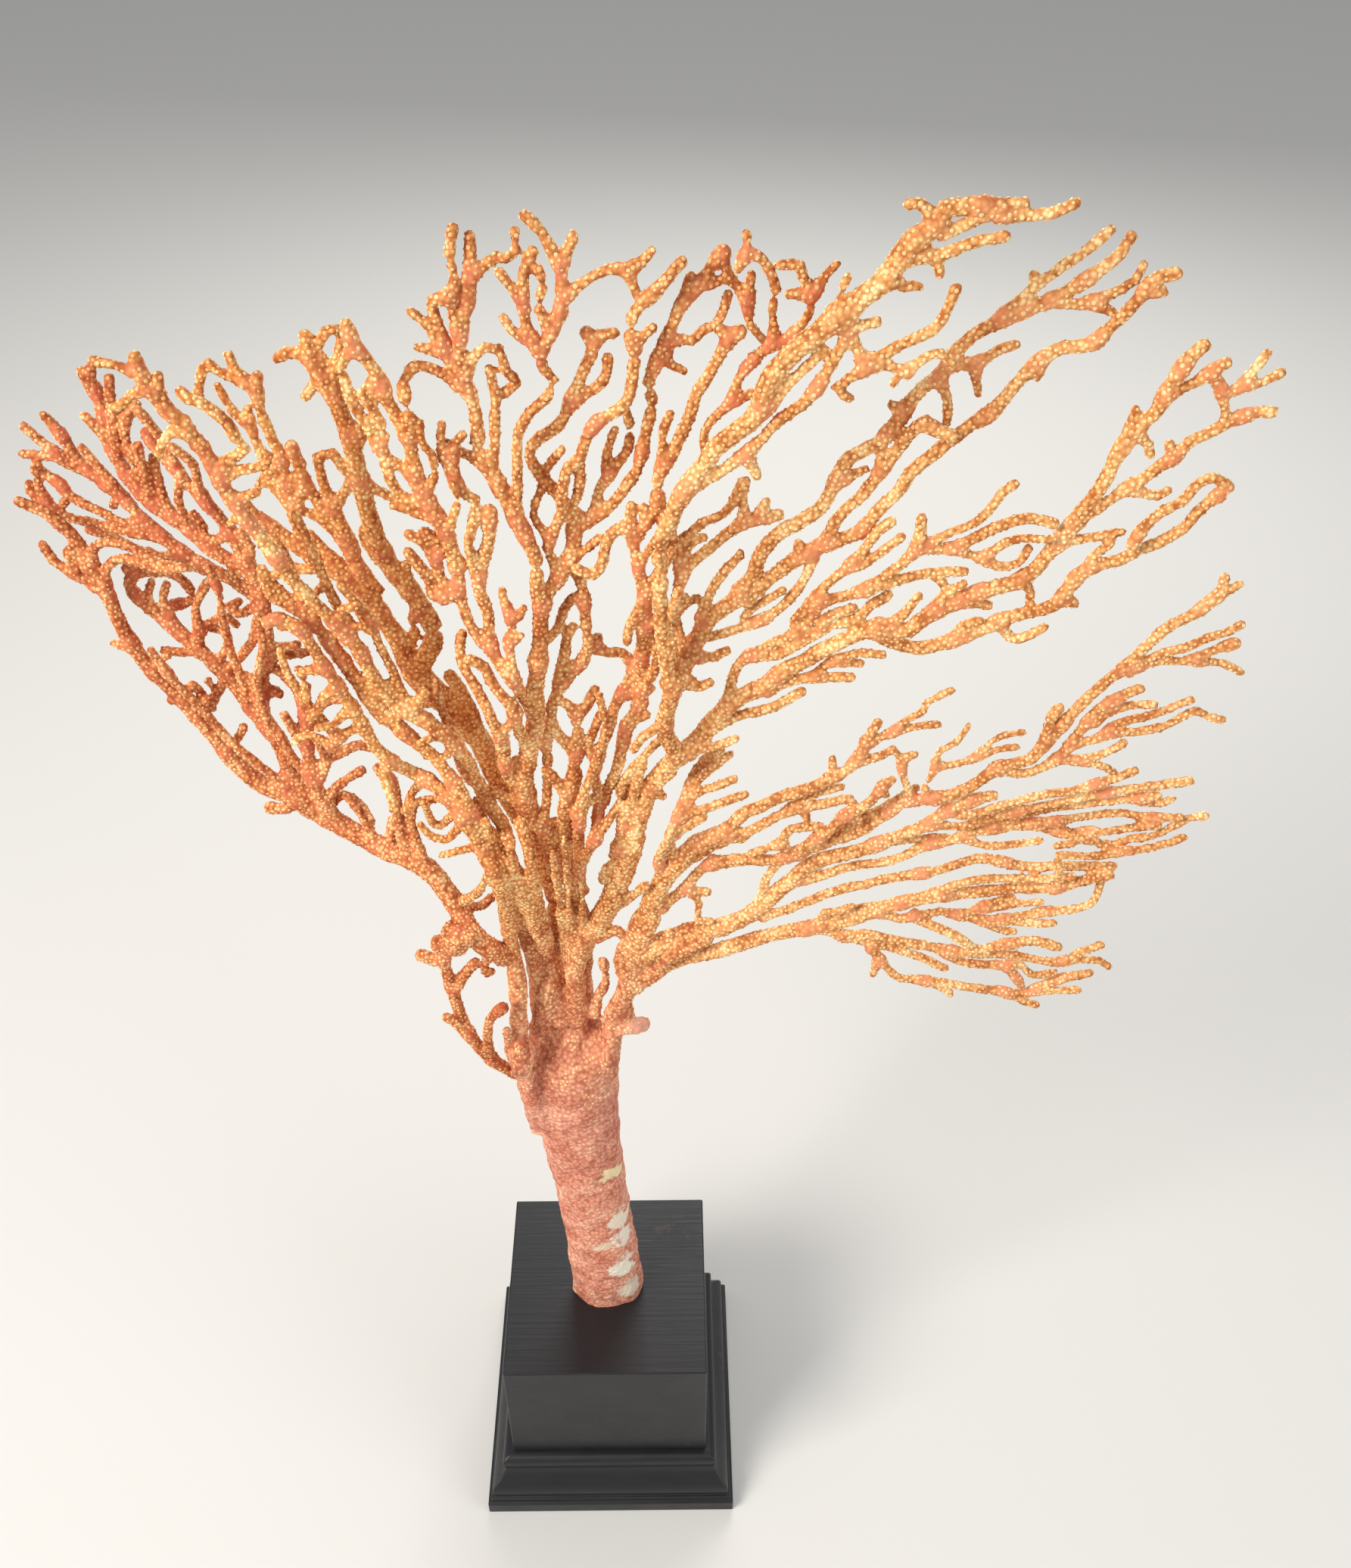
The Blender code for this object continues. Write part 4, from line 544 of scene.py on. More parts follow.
    ("right_outer_limb", "right_middle_root", """
3.6 2.8: 1166,840 1184,836 1202,832 1217,819 1236,808 1262,795 1300,780 1340,770 1365,755 1395,720
    1415,695 1430,675 1450,650 1465,625 1480,595 1500,570 1530,540 1547,508 1570,475 1590,457
2.2: 1540,522 1580,505 1600,490 1620,480
2.0: 1592,500 1620,520 1642,508 1660,485 1675,467
2.4: 1418,694 1460,665 1490,645 1520,625 1550,605 1570,585 1600,570 1630,555 1660,545 1681,545
2.0: 1400,716 1440,710 1482,703
"""),
    ("right_middle_limb", "right_middle_root", """
3.2 2.2: 1156,832 1168,843 1188,850 1210,857 1240,851 1262,845 1300,830 1330,816 1380,805 1400,793
    1416,770 1440,750 1480,740 1505,725 1530,718 1560,700 1580,680 1600,660 1623,646 1604,631
    1582,640 1562,663 1536,676 1508,700 1496,720
2.2: 1320,822 1335,843 1356,841 1378,829
"""),
    ("right_low_root", "trunk", """
4.8 4.4: 866,1190 872,1172 884,1152 900,1134 918,1117 945,1106
2.6: 872,1200 890,1186 908,1172 921,1154 938,1141
2.0: 912,1180 924,1195 920,1215 938,1217
2.4: 868,1128 885,1105 895,1080 905,1058 912,1035 922,1015 935,1003 952,990
2.2: 858,1158 870,1135 880,1115 888,1100
2.2: 905,1060 925,1045 945,1040 970,1029
2.2: 900,1085 925,1070 955,1060 985,1050
2.0: 912,1040 935,1020 965,997
"""),
    ("right_lower_limb", "right_low_root", """
3.4 2.3: 947,1104 962,1096 975,1082 988,1072 1003,1067 1023,1057 1051,1047 1077,1039 1095,1029
    1112,1022 1128,1008 1138,996 1144,980 1153,965 1160,955
1.8: 1146,984 1161,975 1180,968 1210,960 1239,957
1.7: 1182,966 1200,950 1220,940 1225,928 1240,920 1257,912
2.0: 1132,1006 1150,1002 1166,998 1180,990 1189,1001 1209,997
2.4: 962,1098 985,1100 1030,1077 1059,1066 1090,1062 1122,1056 1133,1068
2.0: 1045,1068 1084,1047 1112,1040
"""),
    ("right_loop_limb", "right_low_root", """
3.2 2.3: 938,1140 982,1136 1023,1136 1044,1131 1064,1118 1084,1105 1102,1093 1115,1077 1133,1070
    1153,1057 1166,1039 1178,1031
2.2: 1042,1130 1035,1112 1045,1095 1085,1092
2.8 2.4: 1050,1130 1090,1113 1135,1100 1160,1083 1195,1060 1228,1056
"""),
    ("right_far_limb", "right_loop_limb", """
2.9 2.3: 1232,1056 1261,1049 1292,1034 1316,1015 1338,1009 1362,1003 1381,982 1399,963 1420,939
    1439,921 1460,902 1482,884 1506,862 1531,838 1552,823 1576,812 1598,795 1613,783 1618,764
2.0: 1488,888 1512,875 1537,862 1567,856 1592,844 1622,835 1640,826
2.0: 1498,884 1531,874 1567,873 1590,865 1610,856 1632,850
1.9: 1580,874 1613,876 1639,888
2.2: 1318,1026 1345,1023 1368,1018 1398,1002 1415,983 1430,962 1445,942 1463,930 1488,918 1506,910
2.0: 1442,955 1465,942 1491,932 1525,931
2.0: 1420,991 1451,976 1469,960 1494,951 1531,942 1552,933 1573,925
2.0: 1470,971 1500,967 1537,960 1561,948 1580,939 1598,948 1615,951
2.0: 1400,1014 1425,1005 1450,998 1469,991 1485,981
1.6: 1225,1052 1222,1040 1232,1022 1237,1005 1242,992 1265,980 1280,958
1.6: 1238,1018 1262,1010 1290,1000 1310,980 1330,971 1352,968
1.6: 1290,1000 1320,990 1345,987
"""),
    ("right_wing_limb", "trunk", """
5.0 2.6: 848,1262 866,1254 886,1248 911,1239 937,1230 967,1220 988,1210 1008,1195 1026,1179
    1044,1164 1062,1148 1080,1137 1105,1131 1128,1126 1153,1118 1179,1108 1204,1098 1230,1088
    1252,1070 1290,1056 1312,1051
2.4: 1056,1162 1077,1160 1102,1151 1128,1144 1153,1141 1179,1136 1199,1128 1222,1118 1256,1111
    1284,1099 1318,1095 1357,1089 1395,1086
2.4: 1005,1210 1033,1204 1059,1194 1085,1184 1115,1174 1141,1169 1166,1162 1192,1158 1230,1152
    1256,1145 1290,1135 1326,1139 1354,1145 1402,1145 1430,1144 1471,1145
2.2: 1252,1070 1275,1078 1301,1072 1332,1062 1359,1055 1384,1049 1414,1046 1445,1037 1475,1028
    1499,1019
2.2: 1240,1092 1270,1092 1301,1083 1335,1075 1371,1066 1414,1058 1451,1049 1488,1043 1537,1037
    1572,1031
2.0: 1310,1094 1342,1079 1384,1069 1430,1063 1475,1058 1531,1051
2.0: 1395,1086 1430,1079 1475,1074 1521,1080 1559,1080
2.0: 1366,1089 1392,1098 1425,1099 1460,1099 1490,1095 1529,1091
2.0: 1400,1098 1420,1107 1445,1112 1467,1117 1495,1108 1523,1105 1551,1091 1570,1081 1602,1078
1.9: 1276,1106 1298,1117 1326,1117 1352,1114 1374,1110
"""),
    ("right_bottom_limb", "trunk", """
4.4 2.6: 838,1302 852,1290 870,1281 890,1270 915,1262 945,1257 975,1248 1008,1238 1039,1231
    1064,1227 1090,1222 1115,1217 1141,1210 1161,1200 1205,1190 1240,1183 1262,1181 1298,1178
    1340,1174 1396,1173 1424,1165 1466,1156
2.0: 1082,1222 1090,1205 1105,1205 1125,1198
2.2: 1190,1192 1228,1180 1256,1172 1284,1164 1312,1161 1340,1161 1374,1162 1417,1158
2.2: 1161,1205 1187,1213 1217,1210 1243,1204 1275,1212 1312,1216 1368,1206 1424,1200 1445,1190
    1454,1166
2.0: 1262,1210 1281,1205 1298,1198 1318,1190 1337,1186
2.0: 1296,1205 1318,1199 1346,1194 1375,1192
2.0: 1322,1214 1346,1219 1368,1220 1392,1220
2.6: 1205,1208 1220,1218 1242,1227 1265,1238 1281,1250 1295,1256 1312,1251 1340,1246 1368,1243
    1397,1251
2.6: 1082,1225 1115,1235 1141,1234 1170,1240 1200,1246 1225,1250 1250,1256
2.2: 1110,1236 1135,1242 1160,1248 1190,1256 1215,1264 1248,1279
2.2: 1148,1250 1163,1266 1174,1281 1189,1292 1217,1295 1243,1304 1255,1312
2.2: 1248,1257 1267,1270 1298,1274 1326,1276 1340,1288 1349,1303
2.2: 1255,1256 1280,1260 1307,1261 1340,1262 1368,1268 1402,1271 1424,1260 1454,1249
1.8: 1402,1270 1436,1268 1453,1269 1465,1277
2.0: 1330,1270 1350,1275 1363,1288 1393,1285
2.2: 1220,1296 1240,1297 1262,1301 1285,1305 1326,1310 1354,1313 1380,1300 1402,1293 1440,1286
2.0: 1326,1310 1350,1322 1369,1328
2.0: 1365,1308 1390,1309 1424,1308
2.0: 1396,1172 1400,1145 1396,1131 1424,1131 1453,1131 1481,1125 1509,1122 1537,1116 1564,1107
"""),
)


def branch_lines(text):
    """One line for each branch, with the lines that were set in joined to it."""
    return text.strip().replace("\n    ", " ").splitlines()


print("branches:", sum(len(branch_lines(text)) for _, _, text in LIMBS))

# %% [markdown]
# The fan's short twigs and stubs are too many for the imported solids. They are given in the same
# way, wing by wing, and each springs from the branch nearest to its first position. The last
# rows of a wing follow the run of a whole bundle, where single twigs can't be told apart.

# %% Routes of the short twigs
SHORT_TWIGS = {
    "trunk": """
2.6: 690,1420 678,1402 672,1385 670,1362
3.0 2.4: 710,1310 700,1260 680,1210 665,1160 650,1110 630,1060
3.2 2.4: 745,1280 738,1230 730,1180 720,1130 710,1080 700,1030
3.0 2.4: 770,1220 765,1160 760,1110 755,1060 765,1020
3.2 2.4: 790,1210 810,1170 822,1130 835,1090 860,1050 890,1020
3.0 2.4: 860,1180 890,1150 920,1130 960,1110
""",
    "front_wing": """
618,1128 600,1126 584,1130
398,833 380,825 372,830
2.0: 650,1118 645,1100 642,1085
2.0: 533,935 520,915 512,902
2.4: 540,940 552,928 560,915
1.8: 463,830 480,828 490,835
2.0: 444,824 452,806 470,800
264,590 250,572 245,553
312,665 325,655 340,650
332,692 318,680 305,690
2.2: 600,938 582,930 568,925
2.0: 583,925 560,930 545,925
350,690 336,690 320,700
339,520 338,508 341,496
380,640 395,625 400,612
2.0: 460,722 446,706 437,692
2.0: 476,752 490,765 502,780
2.4: 404,640 396,655 392,675
2.2: 425,497 412,512 404,524
2.4: 462,572 480,566 475,585
552,808 545,820 550,842
2.2: 505,508 500,525 490,505
2.0: 470,460 455,470 450,488
480,960 462,966 448,975 440,988
2.2: 622,1075 614,1050 606,1034
1.9: 596,1030 583,1003 592,996
486,922 505,935 528,945
452,870 466,885 478,905
434,848 446,830 452,812 446,798
412,822 418,802 415,785 425,775
404,812 400,790 392,770 388,758
478,864 468,850 462,835 460,815
222,545 213,520 209,496
1.9: 197,512 180,520 165,530 150,540
1.9: 182,492 165,487 150,482 130,480
245,568 225,572 214,585 210,600
2.0: 458,766 462,785 470,800 480,818
394,722 380,715 362,715 345,722
372,608 362,618 350,630 340,645
1.9: 388,672 375,660 360,645 350,630
2.0: 455,712 438,700 425,688 410,678
2.6 2.4: 411,474 395,466 380,466 368,473
2.6: 541,779 540,760 537,747
2.2: 476,635 495,645 512,655 530,660
2.0: 575,680 555,680 535,672 520,668
390,803 378,790 365,775 362,760 382,750
2.0: 640,990 622,978 600,965 580,960
2.4 2.0: 530,980 500,925 485,880 462,835 440,790 422,750 405,710 390,680
2.4 2.0: 500,940 470,900 440,860 415,820 395,780 380,740 360,710
2.2 1.9: 550,960 535,920 518,885 500,850 490,820 468,795 450,775
2.2 1.8: 460,980 425,950 400,920 380,890 370,860
2.0 1.8: 450,1000 430,980 405,970 390,980
""",
    "back_wing": """
2.0: 628,1272 640,1289 650,1283
171,848 158,853 150,850
234,920 226,925
2.0: 100,758 93,745 88,730
2.0: 118,752 105,738 93,724
2.0: 205,886 215,870 222,865
2.2: 300,990 315,975 322,960
2.4: 351,860 372,855 392,852
2.2: 352,915 362,912 370,917
2.4: 346,920 334,903 325,893
2.4: 304,703 290,712 275,715
2.2: 325,740 332,722 318,705
2.2: 403,945 420,958
2.2: 240,838 258,850 270,862
2.2: 175,757 167,750
2.2: 300,895 290,912 283,925
2.2: 127,520 115,505 107,490
2.0: 137,547 150,545 165,545
2.2: 73,600 50,602 30,599
2.0: 80,642 92,655 85,665
2.2: 140,640 155,655 150,668
3.2 2.6: 620,1366 603,1352 590,1344
3.2 3.4: 587,1266 572,1268 557,1262
3.0: 601,1304 615,1286 627,1273
2.6 3.4: 392,1057 378,1068 358,1067
2.2: 346,790 330,780 312,772 305,758
2.4: 405,985 393,975 382,955 376,945
2.4: 400,928 405,905 395,885
2.2: 262,858 240,862 218,860
2.2: 150,597 135,575 122,560 112,550
2.2: 276,724 270,700 255,680
2.0: 62,665 45,625 50,612
2.2: 252,703 240,675 235,650 240,628
2.2: 203,668 195,640 188,615 182,590
2.2: 421,1030 432,1010 424,990 418,975
7.4 7.0: 606,1230 603,1246
3.0 4.6: 592,1250 580,1247
2.4 2.0: 380,1040 340,1010 305,980 270,940 230,900 200,860
2.2 1.9: 330,940 320,900 305,860 295,820 288,780 275,750
2.2 1.9: 380,1020 365,980 350,940 340,900 348,850 340,810
""",
    "crown": """
2.4: 692,1035 684,1020 683,1005
2.0: 683,945 678,928
1.8: 674,812 688,815 692,803
1.8: 676,845 688,840
2.2: 580,735 580,715 560,702
595,392 570,396
580,462 552,459
2.0: 692,397 672,375 660,360
1.9: 828,358 850,345 862,331
1.9: 700,448 680,440 665,420
1.8: 658,640 672,650 680,665
2.0: 782,455 797,442 812,440
1.9: 836,455 862,433
1.9: 906,395 912,365
1.8: 885,452 885,480 903,490
1.8: 952,336 962,360 975,378
2.0: 847,868 862,850 866,832
2.0: 840,710 855,690 865,672
1.9: 848,690 849,670
1.9: 966,446 945,430
1.8: 986,334 975,356
1.8: 1075,388 1090,365 1105,349
1.8: 1062,390 1043,388
1.8: 975,525 998,518
1.8: 990,392 993,363
2.2: 760,945 750,930 738,925
2.0: 785,853 790,842
2.2: 826,915 845,915 860,910
2.6 2.3: 732,1132 737,1108 734,1085
588,458 575,445 560,425 544,412
1.9: 640,612 612,598 590,585
1.9: 802,625 803,595 812,568
1.9: 752,742 775,725 792,710
2.6: 750,1048 735,1032 722,1018
2.0: 828,962 841,950 855,945
2.0: 596,602 601,586 612,575
2.4 2.0: 630,1080 620,1030 600,980 585,940 575,900
2.4 2.0: 680,1070 670,1020 655,970 640,930
2.4 2.0: 760,1080 775,1040 790,1000 800,960 792,920
2.2 1.9: 720,980 730,940 735,900 745,860
""",
    "upper_right_wing": """
2.0: 803,1145 808,1132 814,1120
2.4: 862,1040 875,1052
2.2: 905,900 924,908 938,903
2.0: 1003,683 1013,663
2.0: 903,805 921,790 934,803
2.0: 1110,636 1142,620
2.0: 1195,545 1178,535
1.9: 1445,400 1470,412
1.9: 1290,482 1290,505 1292,520
2.2: 985,600 1000,628
2.0: 1215,330 1240,350 1242,362
1.9: 1175,370 1195,378 1215,378
2.0: 1128,432 1158,426
1.9: 1122,412 1110,392 1120,366
1.9: 1300,228 1313,250 1313,264
2.2: 1166,618 1165,592
2.0: 1518,382 1536,386
2.0: 1372,480 1370,497
2.0: 1222,572 1223,556
2.2: 1060,734 1055,719
2.0: 1252,784 1240,765 1226,756
2.2: 1270,793 1305,800
2.0: 1500,572 1518,588 1519,600
1.9: 1612,520 1620,545 1617,560
1.9: 1550,604 1545,586
1.9: 1350,765 1362,783 1360,800
2.0: 1100,876 1137,877
2.2: 1262,845 1272,827 1293,821
2.0: 1440,748 1450,730 1468,719
2.0: 1405,790 1420,797
2.6: 824,1150 812,1142 801,1148 797,1162
2.2: 919,868 944,868 960,860
2.0: 985,688 982,660 986,636
2.0: 898,745 911,720 930,710
2.0: 1250,500 1252,530 1250,560
1.9: 1352,412 1365,390 1366,362
2.2: 1236,296 1225,275 1210,250 1203,239
2.2: 1086,826 1100,812 1127,803
2.6: 1212,728 1216,702 1218,686
2.2: 1236,806 1250,785 1272,772
2.0: 1486,588 1495,560 1500,541
1.9: 1642,508 1670,505 1692,493
2.0: 1495,646 1530,655 1543,648
2.2: 1175,828 1195,810 1213,788
2.4: 889,912 878,900 884,875 888,845
2.2: 893,880 888,850 884,820 905,790
2.4: 815,1120 824,1090 833,1060 842,1032 850,1006
2.4 2.0: 800,1080 820,1040 850,1000 880,970
2.4 2.0: 840,1070 860,1030 890,1000
""",
    "lower_right_wing": """
2.0: 908,1176 936,1179
2.0: 860,1140 875,1125 888,1122
2.0: 1102,1026 1100,1003
2.0: 962,1104 980,1110 993,1097
1.9: 1060,1066 1066,1080
1.9: 1118,1078 1136,1083
1.9: 1160,1040 1171,1050
1.9: 1600,793 1620,782 1638,772
2.0: 1160,1268 1153,1287
2.2: 888,1105 912,1090 930,1080
2.0: 1033,1114 1013,1121 993,1127
1.8: 1205,1057 1195,1030 1191,1014
2.6: 1384,980 1387,951 1399,936
1.7: 1430,1015 1455,1011 1472,1020
2.0: 894,1246 883,1230 888,1215
1.9: 1500,1060 1525,1062 1549,1056
1.9: 1441,1105 1418,1113 1396,1118
2.0: 1300,1216 1323,1229 1340,1231
1.8: 1191,1014 1192,1004
2.2 1.8: 1000,1200 1040,1170 1090,1140 1140,1120 1200,1110 1250,1105
2.2 1.8: 980,1180 1020,1150 1070,1120 1120,1090 1170,1065 1210,1040
2.0 1.8: 1060,1210 1110,1205 1160,1195 1200,1192
""",
}
print("short twigs:", sum(len(branch_lines(text)) for text in SHORT_TWIGS.values()))

# %% [markdown]
# A route is flat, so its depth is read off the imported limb: a line of sight through each position
# enters the limb and leaves it again, and the branch runs midway. Where it misses the limb,
# the depth is filled in from the positions on either side. A short twig keeps its foot's depth.

# %% Branches in space
DEFAULT_THICKNESS = (2.2, 1.9)
LEAST_TIP = 1.6
HALF_MM_IN_METRE = 2000.0
SAME_DEPTH = 0.006
CURVE_STEP = 0.0022
HIT_STEP = 0.0002
MOST_HITS = 12
SKIN_ROOM = 0.0009


def surface_of(limbs):
    """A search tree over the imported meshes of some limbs."""
    form = bmesh.new()
    for limb in limbs:
        form.from_mesh(solids[limb].data)
    tree = BVHTree.FromBMesh(form)
    form.free()
    return tree


def read_line(line):
    """A branch's radius at foot and tip in metres, and its positions in the photo."""
    sizes, _, places = line.rpartition(":")
    values = [float(word) for word in sizes.split()] or DEFAULT_THICKNESS
    pairs = [tuple(float(value) for value in pair.split(",")) for pair in places.split()]
    return values[0] / HALF_MM_IN_METRE, max(values[-1], LEAST_TIP) / HALF_MM_IN_METRE, pairs


def middle_depths(surface, x, y):
    """The depths midway through everything that the line of sight passes."""
    ray = view_ray(x, y)
    start = EYE.copy()
    crossings = []
    for _ in range(MOST_HITS):
        place = surface.ray_cast(start, ray)[0]
        if place is None:
            break
        crossings.append(place.y)
        start = place + ray * HIT_STEP
    return [0.5 * (near + far) for near, far in zip(crossings[::2], crossings[1::2])]


def trace(surface, pairs, start_depth):
    """The depth of each position of a branch, from its foot on."""
    known = {0: start_depth}
    depth = start_depth
    for number, (x, y) in enumerate(pairs[1:], start=1):
        choices = middle_depths(surface, x, y)
        nearest = min(choices, key=lambda one: abs(one - depth), default=None)
        if nearest is not None and abs(nearest - depth) < SAME_DEPTH:
            depth = nearest
            known[number] = depth
    return np.interp(range(len(pairs)), list(known), list(known.values())).tolist()


def rounded(points, step):
    """A rounded curve through points (Catmull-Rom), with a point about every step."""
    ends = np.vstack((2 * points[0] - points[1], points, 2 * points[-1] - points[-2]))
    curve = []
    for i in range(1, len(ends) - 2):
        p0, p1, p2, p3 = ends[i - 1:i + 3]
        count = max(1, round(float(np.linalg.norm(p2 - p1)) / step))
        for j in range(count):
            t = j / count
            bend = (2 * p0 - 5 * p1 + 4 * p2 - p3) * t * t + (3 * p1 - p0 - 3 * p2 + p3) * t ** 3
            curve.append(0.5 * (2 * p1 + (p2 - p0) * t + bend))
    curve.append(points[-1])
    return np.array(curve)


def find_foot(branches, pair):
    """Where a branch springs from the built ones, seen in the photo, and at what depth."""
    best = None
    for branch in branches:
        seen = branch["flat"]
        off = np.hypot(seen[:, 0] - pair[0], seen[:, 1] - pair[1]) - seen[:, 2]
        number = int(np.argmin(off))
        if best is None or off[number] < best[0]:
            best = (off[number], seen[number], float(branch["curve"][number][1]))
    outside, foot, depth = best
    return (pair if outside < 0.0 else tuple(foot[:2].tolist())), depth


def flat_places(curve, radii):
    """Where the points of a curve are seen in the photo, and its radius there, in pixels."""
    seen = []
    for point, radius in zip(curve, radii):
        away = Vector(point) - EYE
        scale = VIEW_DISTANCE_PX / away.dot(VIEW_FORWARD)
        seen.append((PHOTO_WIDE / 2 + scale * away.dot(IMAGE_RIGHT),
                     PHOTO_HIGH / 2 - scale * away.dot(IMAGE_UP), scale * radius))
    return np.array(seen)


def add_branch(branches, surface, line, carriers):
    """Trace one branch from the nearest point of its carriers, and add it to the list."""
    first, last, pairs = read_line(line)
    depth = 0.0
    if carriers:
        pairs[0], depth = find_foot(carriers, pairs[0])
    if surface is None:
        depths = [depth] * len(pairs)
    else:
        depths = trace(surface, pairs, depth)
    points = np.array([at_depth(x, y, d) for (x, y), d in zip(pairs, depths)])
    curve = rounded(points, CURVE_STEP)
    radii = np.linspace(first, last, len(curve))
    room = radii[:, None] + SKIN_ROOM
    curve = np.clip(curve, np.array(cad_box[0]) + room, np.array(cad_box[1]) - room)
    branches.append({"curve": curve, "flat": flat_places(curve, radii), "radii": radii})


built = {}
for limb, carrier, text in LIMBS:
    surface = surface_of([name for name in (limb, carrier) if name])
    branches = []
    for line in branch_lines(text):
        add_branch(branches, surface, line, branches or built.get(carrier))
    built[limb] = branches
wing_branches = {}
for wing, limbs in WINGS.items():
    wing_branches[wing] = [branch for limb in limbs for branch in built[limb]]
    for line in branch_lines(SHORT_TWIGS[wing]):
        add_branch(wing_branches[wing], None, line, wing_branches[wing])
total = sum(len(branches) for branches in wing_branches.values())
length = sum(float(np.linalg.norm(np.diff(branch["curve"], axis=0), axis=1).sum())
             for branches in wing_branches.values() for branch in branches)
print("branches and twigs:", total, "total length in m:", round(length, 2))

# %% [markdown]
# Each branch becomes a closed round tube with a rounded tip. At its foot it swells a little, as
# the real one does at a fork. The trunk is different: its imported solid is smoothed, with its foot
# kept flat and let into the block, and the strands that rise from it are tubes like the branches.

# %% Tubes
TUBE_SIDES = 8
FOOT_SWELL = 0.22
FOOT_REACH = 0.0028
TIP_ROUND = ((0.55, 0.86), (0.9, 0.5))
TRUNK_ROUNDING = 0.17
TRUNK_LEVELS = 2
SAME_CORNER = 0.00001
FLAT_ENOUGH = math.radians(50)
SQUARE_ENOUGH = math.radians(70)
FACES_DOWN = -0.9
FOOT_SINK = 0.0015


def lengths_along(curve):
    """How far each point of a curve is from its first one, along the curve."""
    return np.concatenate(([0.0], np.cumsum(np.linalg.norm(np.diff(curve, axis=0), axis=1))))


def add_ring(form, centre, ahead, radius):
    """A ring of corners square to a direction."""
    turn = Vector(ahead).to_track_quat("Z", "X").to_matrix()
    ring = []
    for k in range(TUBE_SIDES):
        angle = 2.0 * math.pi * k / TUBE_SIDES
        spoke = turn @ Vector((math.cos(angle), math.sin(angle), 0.0))
        ring.append(form.verts.new(Vector(centre) + spoke * radius))
    return ring


def join_rings(form, rings):
    """Faces between each ring of corners and the next, and over both ends."""
    sides = len(rings[0])
    form.faces.new(rings[0][::-1])
    form.faces.new(rings[-1])
    for lower, upper in zip(rings[:-1], rings[1:]):
        for k in range(sides):
            after = (k + 1) % sides
            form.faces.new((lower[k], lower[after], upper[after], upper[k]))


def add_tube(form, curve, radii):
    """A closed tube along a curve, swollen at its foot and rounded at its tip."""
    along = lengths_along(curve)
    swell = 1.0 + FOOT_SWELL * np.exp(-(along / FOOT_REACH) ** 2)
    ways = np.gradient(curve, axis=0)
    rings = [add_ring(form, point, way, radius)
             for point, way, radius in zip(curve, ways, radii * swell)]
    tip_way = Vector(ways[-1]).normalized()
    for reach, share in TIP_ROUND:
        rings.append(add_ring(form, Vector(curve[-1]) + tip_way * radii[-1] * reach, tip_way,
                              radii[-1] * share))
    join_rings(form, rings)


def trunk_cage():
    """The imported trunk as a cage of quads, moved out a little against the smoothing."""
    body = bmesh.new()
    body.from_mesh(solids["trunk"].data)
    bmesh.ops.remove_doubles(body, verts=body.verts, dist=SAME_CORNER)
    bmesh.ops.join_triangles(body, faces=body.faces, angle_face_threshold=FLAT_ENOUGH,
                             angle_shape_threshold=SQUARE_ENOUGH)
    body.normal_update()
    moves = [vertex.normal * min(edge.calc_length() for edge in vertex.link_edges)
             for vertex in body.verts]
    foot_level = min(vertex.co.z for vertex in body.verts)
    for vertex, move in zip(body.verts, moves):
        vertex.co += move * TRUNK_ROUNDING
    crease = body.edges.layers.float.new("crease_edge")
    for face in body.faces:
        if face.normal.z < FACES_DOWN and abs(face.calc_center_median().z - foot_level) < FOOT_SINK:
            for edge in face.edges:
                edge[crease] = 1.0
    for vertex in body.verts:
        if vertex.co.z < foot_level + FOOT_SINK:
            vertex.co.z = foot_level - FOOT_SINK
    cage = bpy.data.meshes.new("trunk_cage")
    body.to_mesh(cage)
    body.free()
    return cage


def evaluated_mesh(working):
    """What a working object's modifiers make of its mesh. The working object is removed."""
    bpy.context.view_layer.update()
    graph = bpy.context.evaluated_depsgraph_get()
    made = bpy.data.meshes.new_from_object(working.evaluated_get(graph))
    old = working.data
    bpy.data.objects.remove(working)
    bpy.data.meshes.remove(old)
    return made


def add_trunk(form):
    """The smoothed trunk."""
    working = link_object("trunk_work", trunk_cage())
    rounding = working.modifiers.new("rounding", "SUBSURF")
    rounding.levels = TRUNK_LEVELS
    rounding.render_levels = TRUNK_LEVELS
    smooth = evaluated_mesh(working)
    form.from_mesh(smooth)
    bpy.data.meshes.remove(smooth)


forms = {}
for wing in WINGS:
    forms[wing] = bmesh.new()
    branches = wing_branches[wing]
    if wing == "trunk":
        add_trunk(forms[wing])
        branches = branches[1:]
    for branch in branches:
        add_tube(forms[wing], branch["curve"], branch["radii"])
    print(wing, "tubes:", len(branches), "faces:", len(forms[wing].faces))

# %% [markdown]
# Sea fans swell into knots at their forks, and here and there along a stem. The knots' middles
# are gathered as loose points: one at each foot, and a few more along the longer branches.

# %% Middles of the knots
KNOT_GAP = 0.034
KNOT_GAP_SHARES = (0.6, 1.5)
rng = np.random.default_rng(5)
knot_points = {}
for wing, branches in wing_branches.items():
    places = []
    for branch in branches:
        curve = branch["curve"]
        along = lengths_along(curve)
        place = 0.0
        while place < along[-1]:
            places.append([np.interp(place, along, curve[:, axis]) for axis in range(3)])
            place += KNOT_GAP * rng.uniform(*KNOT_GAP_SHARES)
    mesh = bpy.data.meshes.new(wing + "_knots")
    mesh.from_pydata(places, [], [])
    knot_points[wing] = link_object(wing + "_knots", mesh)
print("knots:", sum(len(one.data.vertices) for one in knot_points.values()))

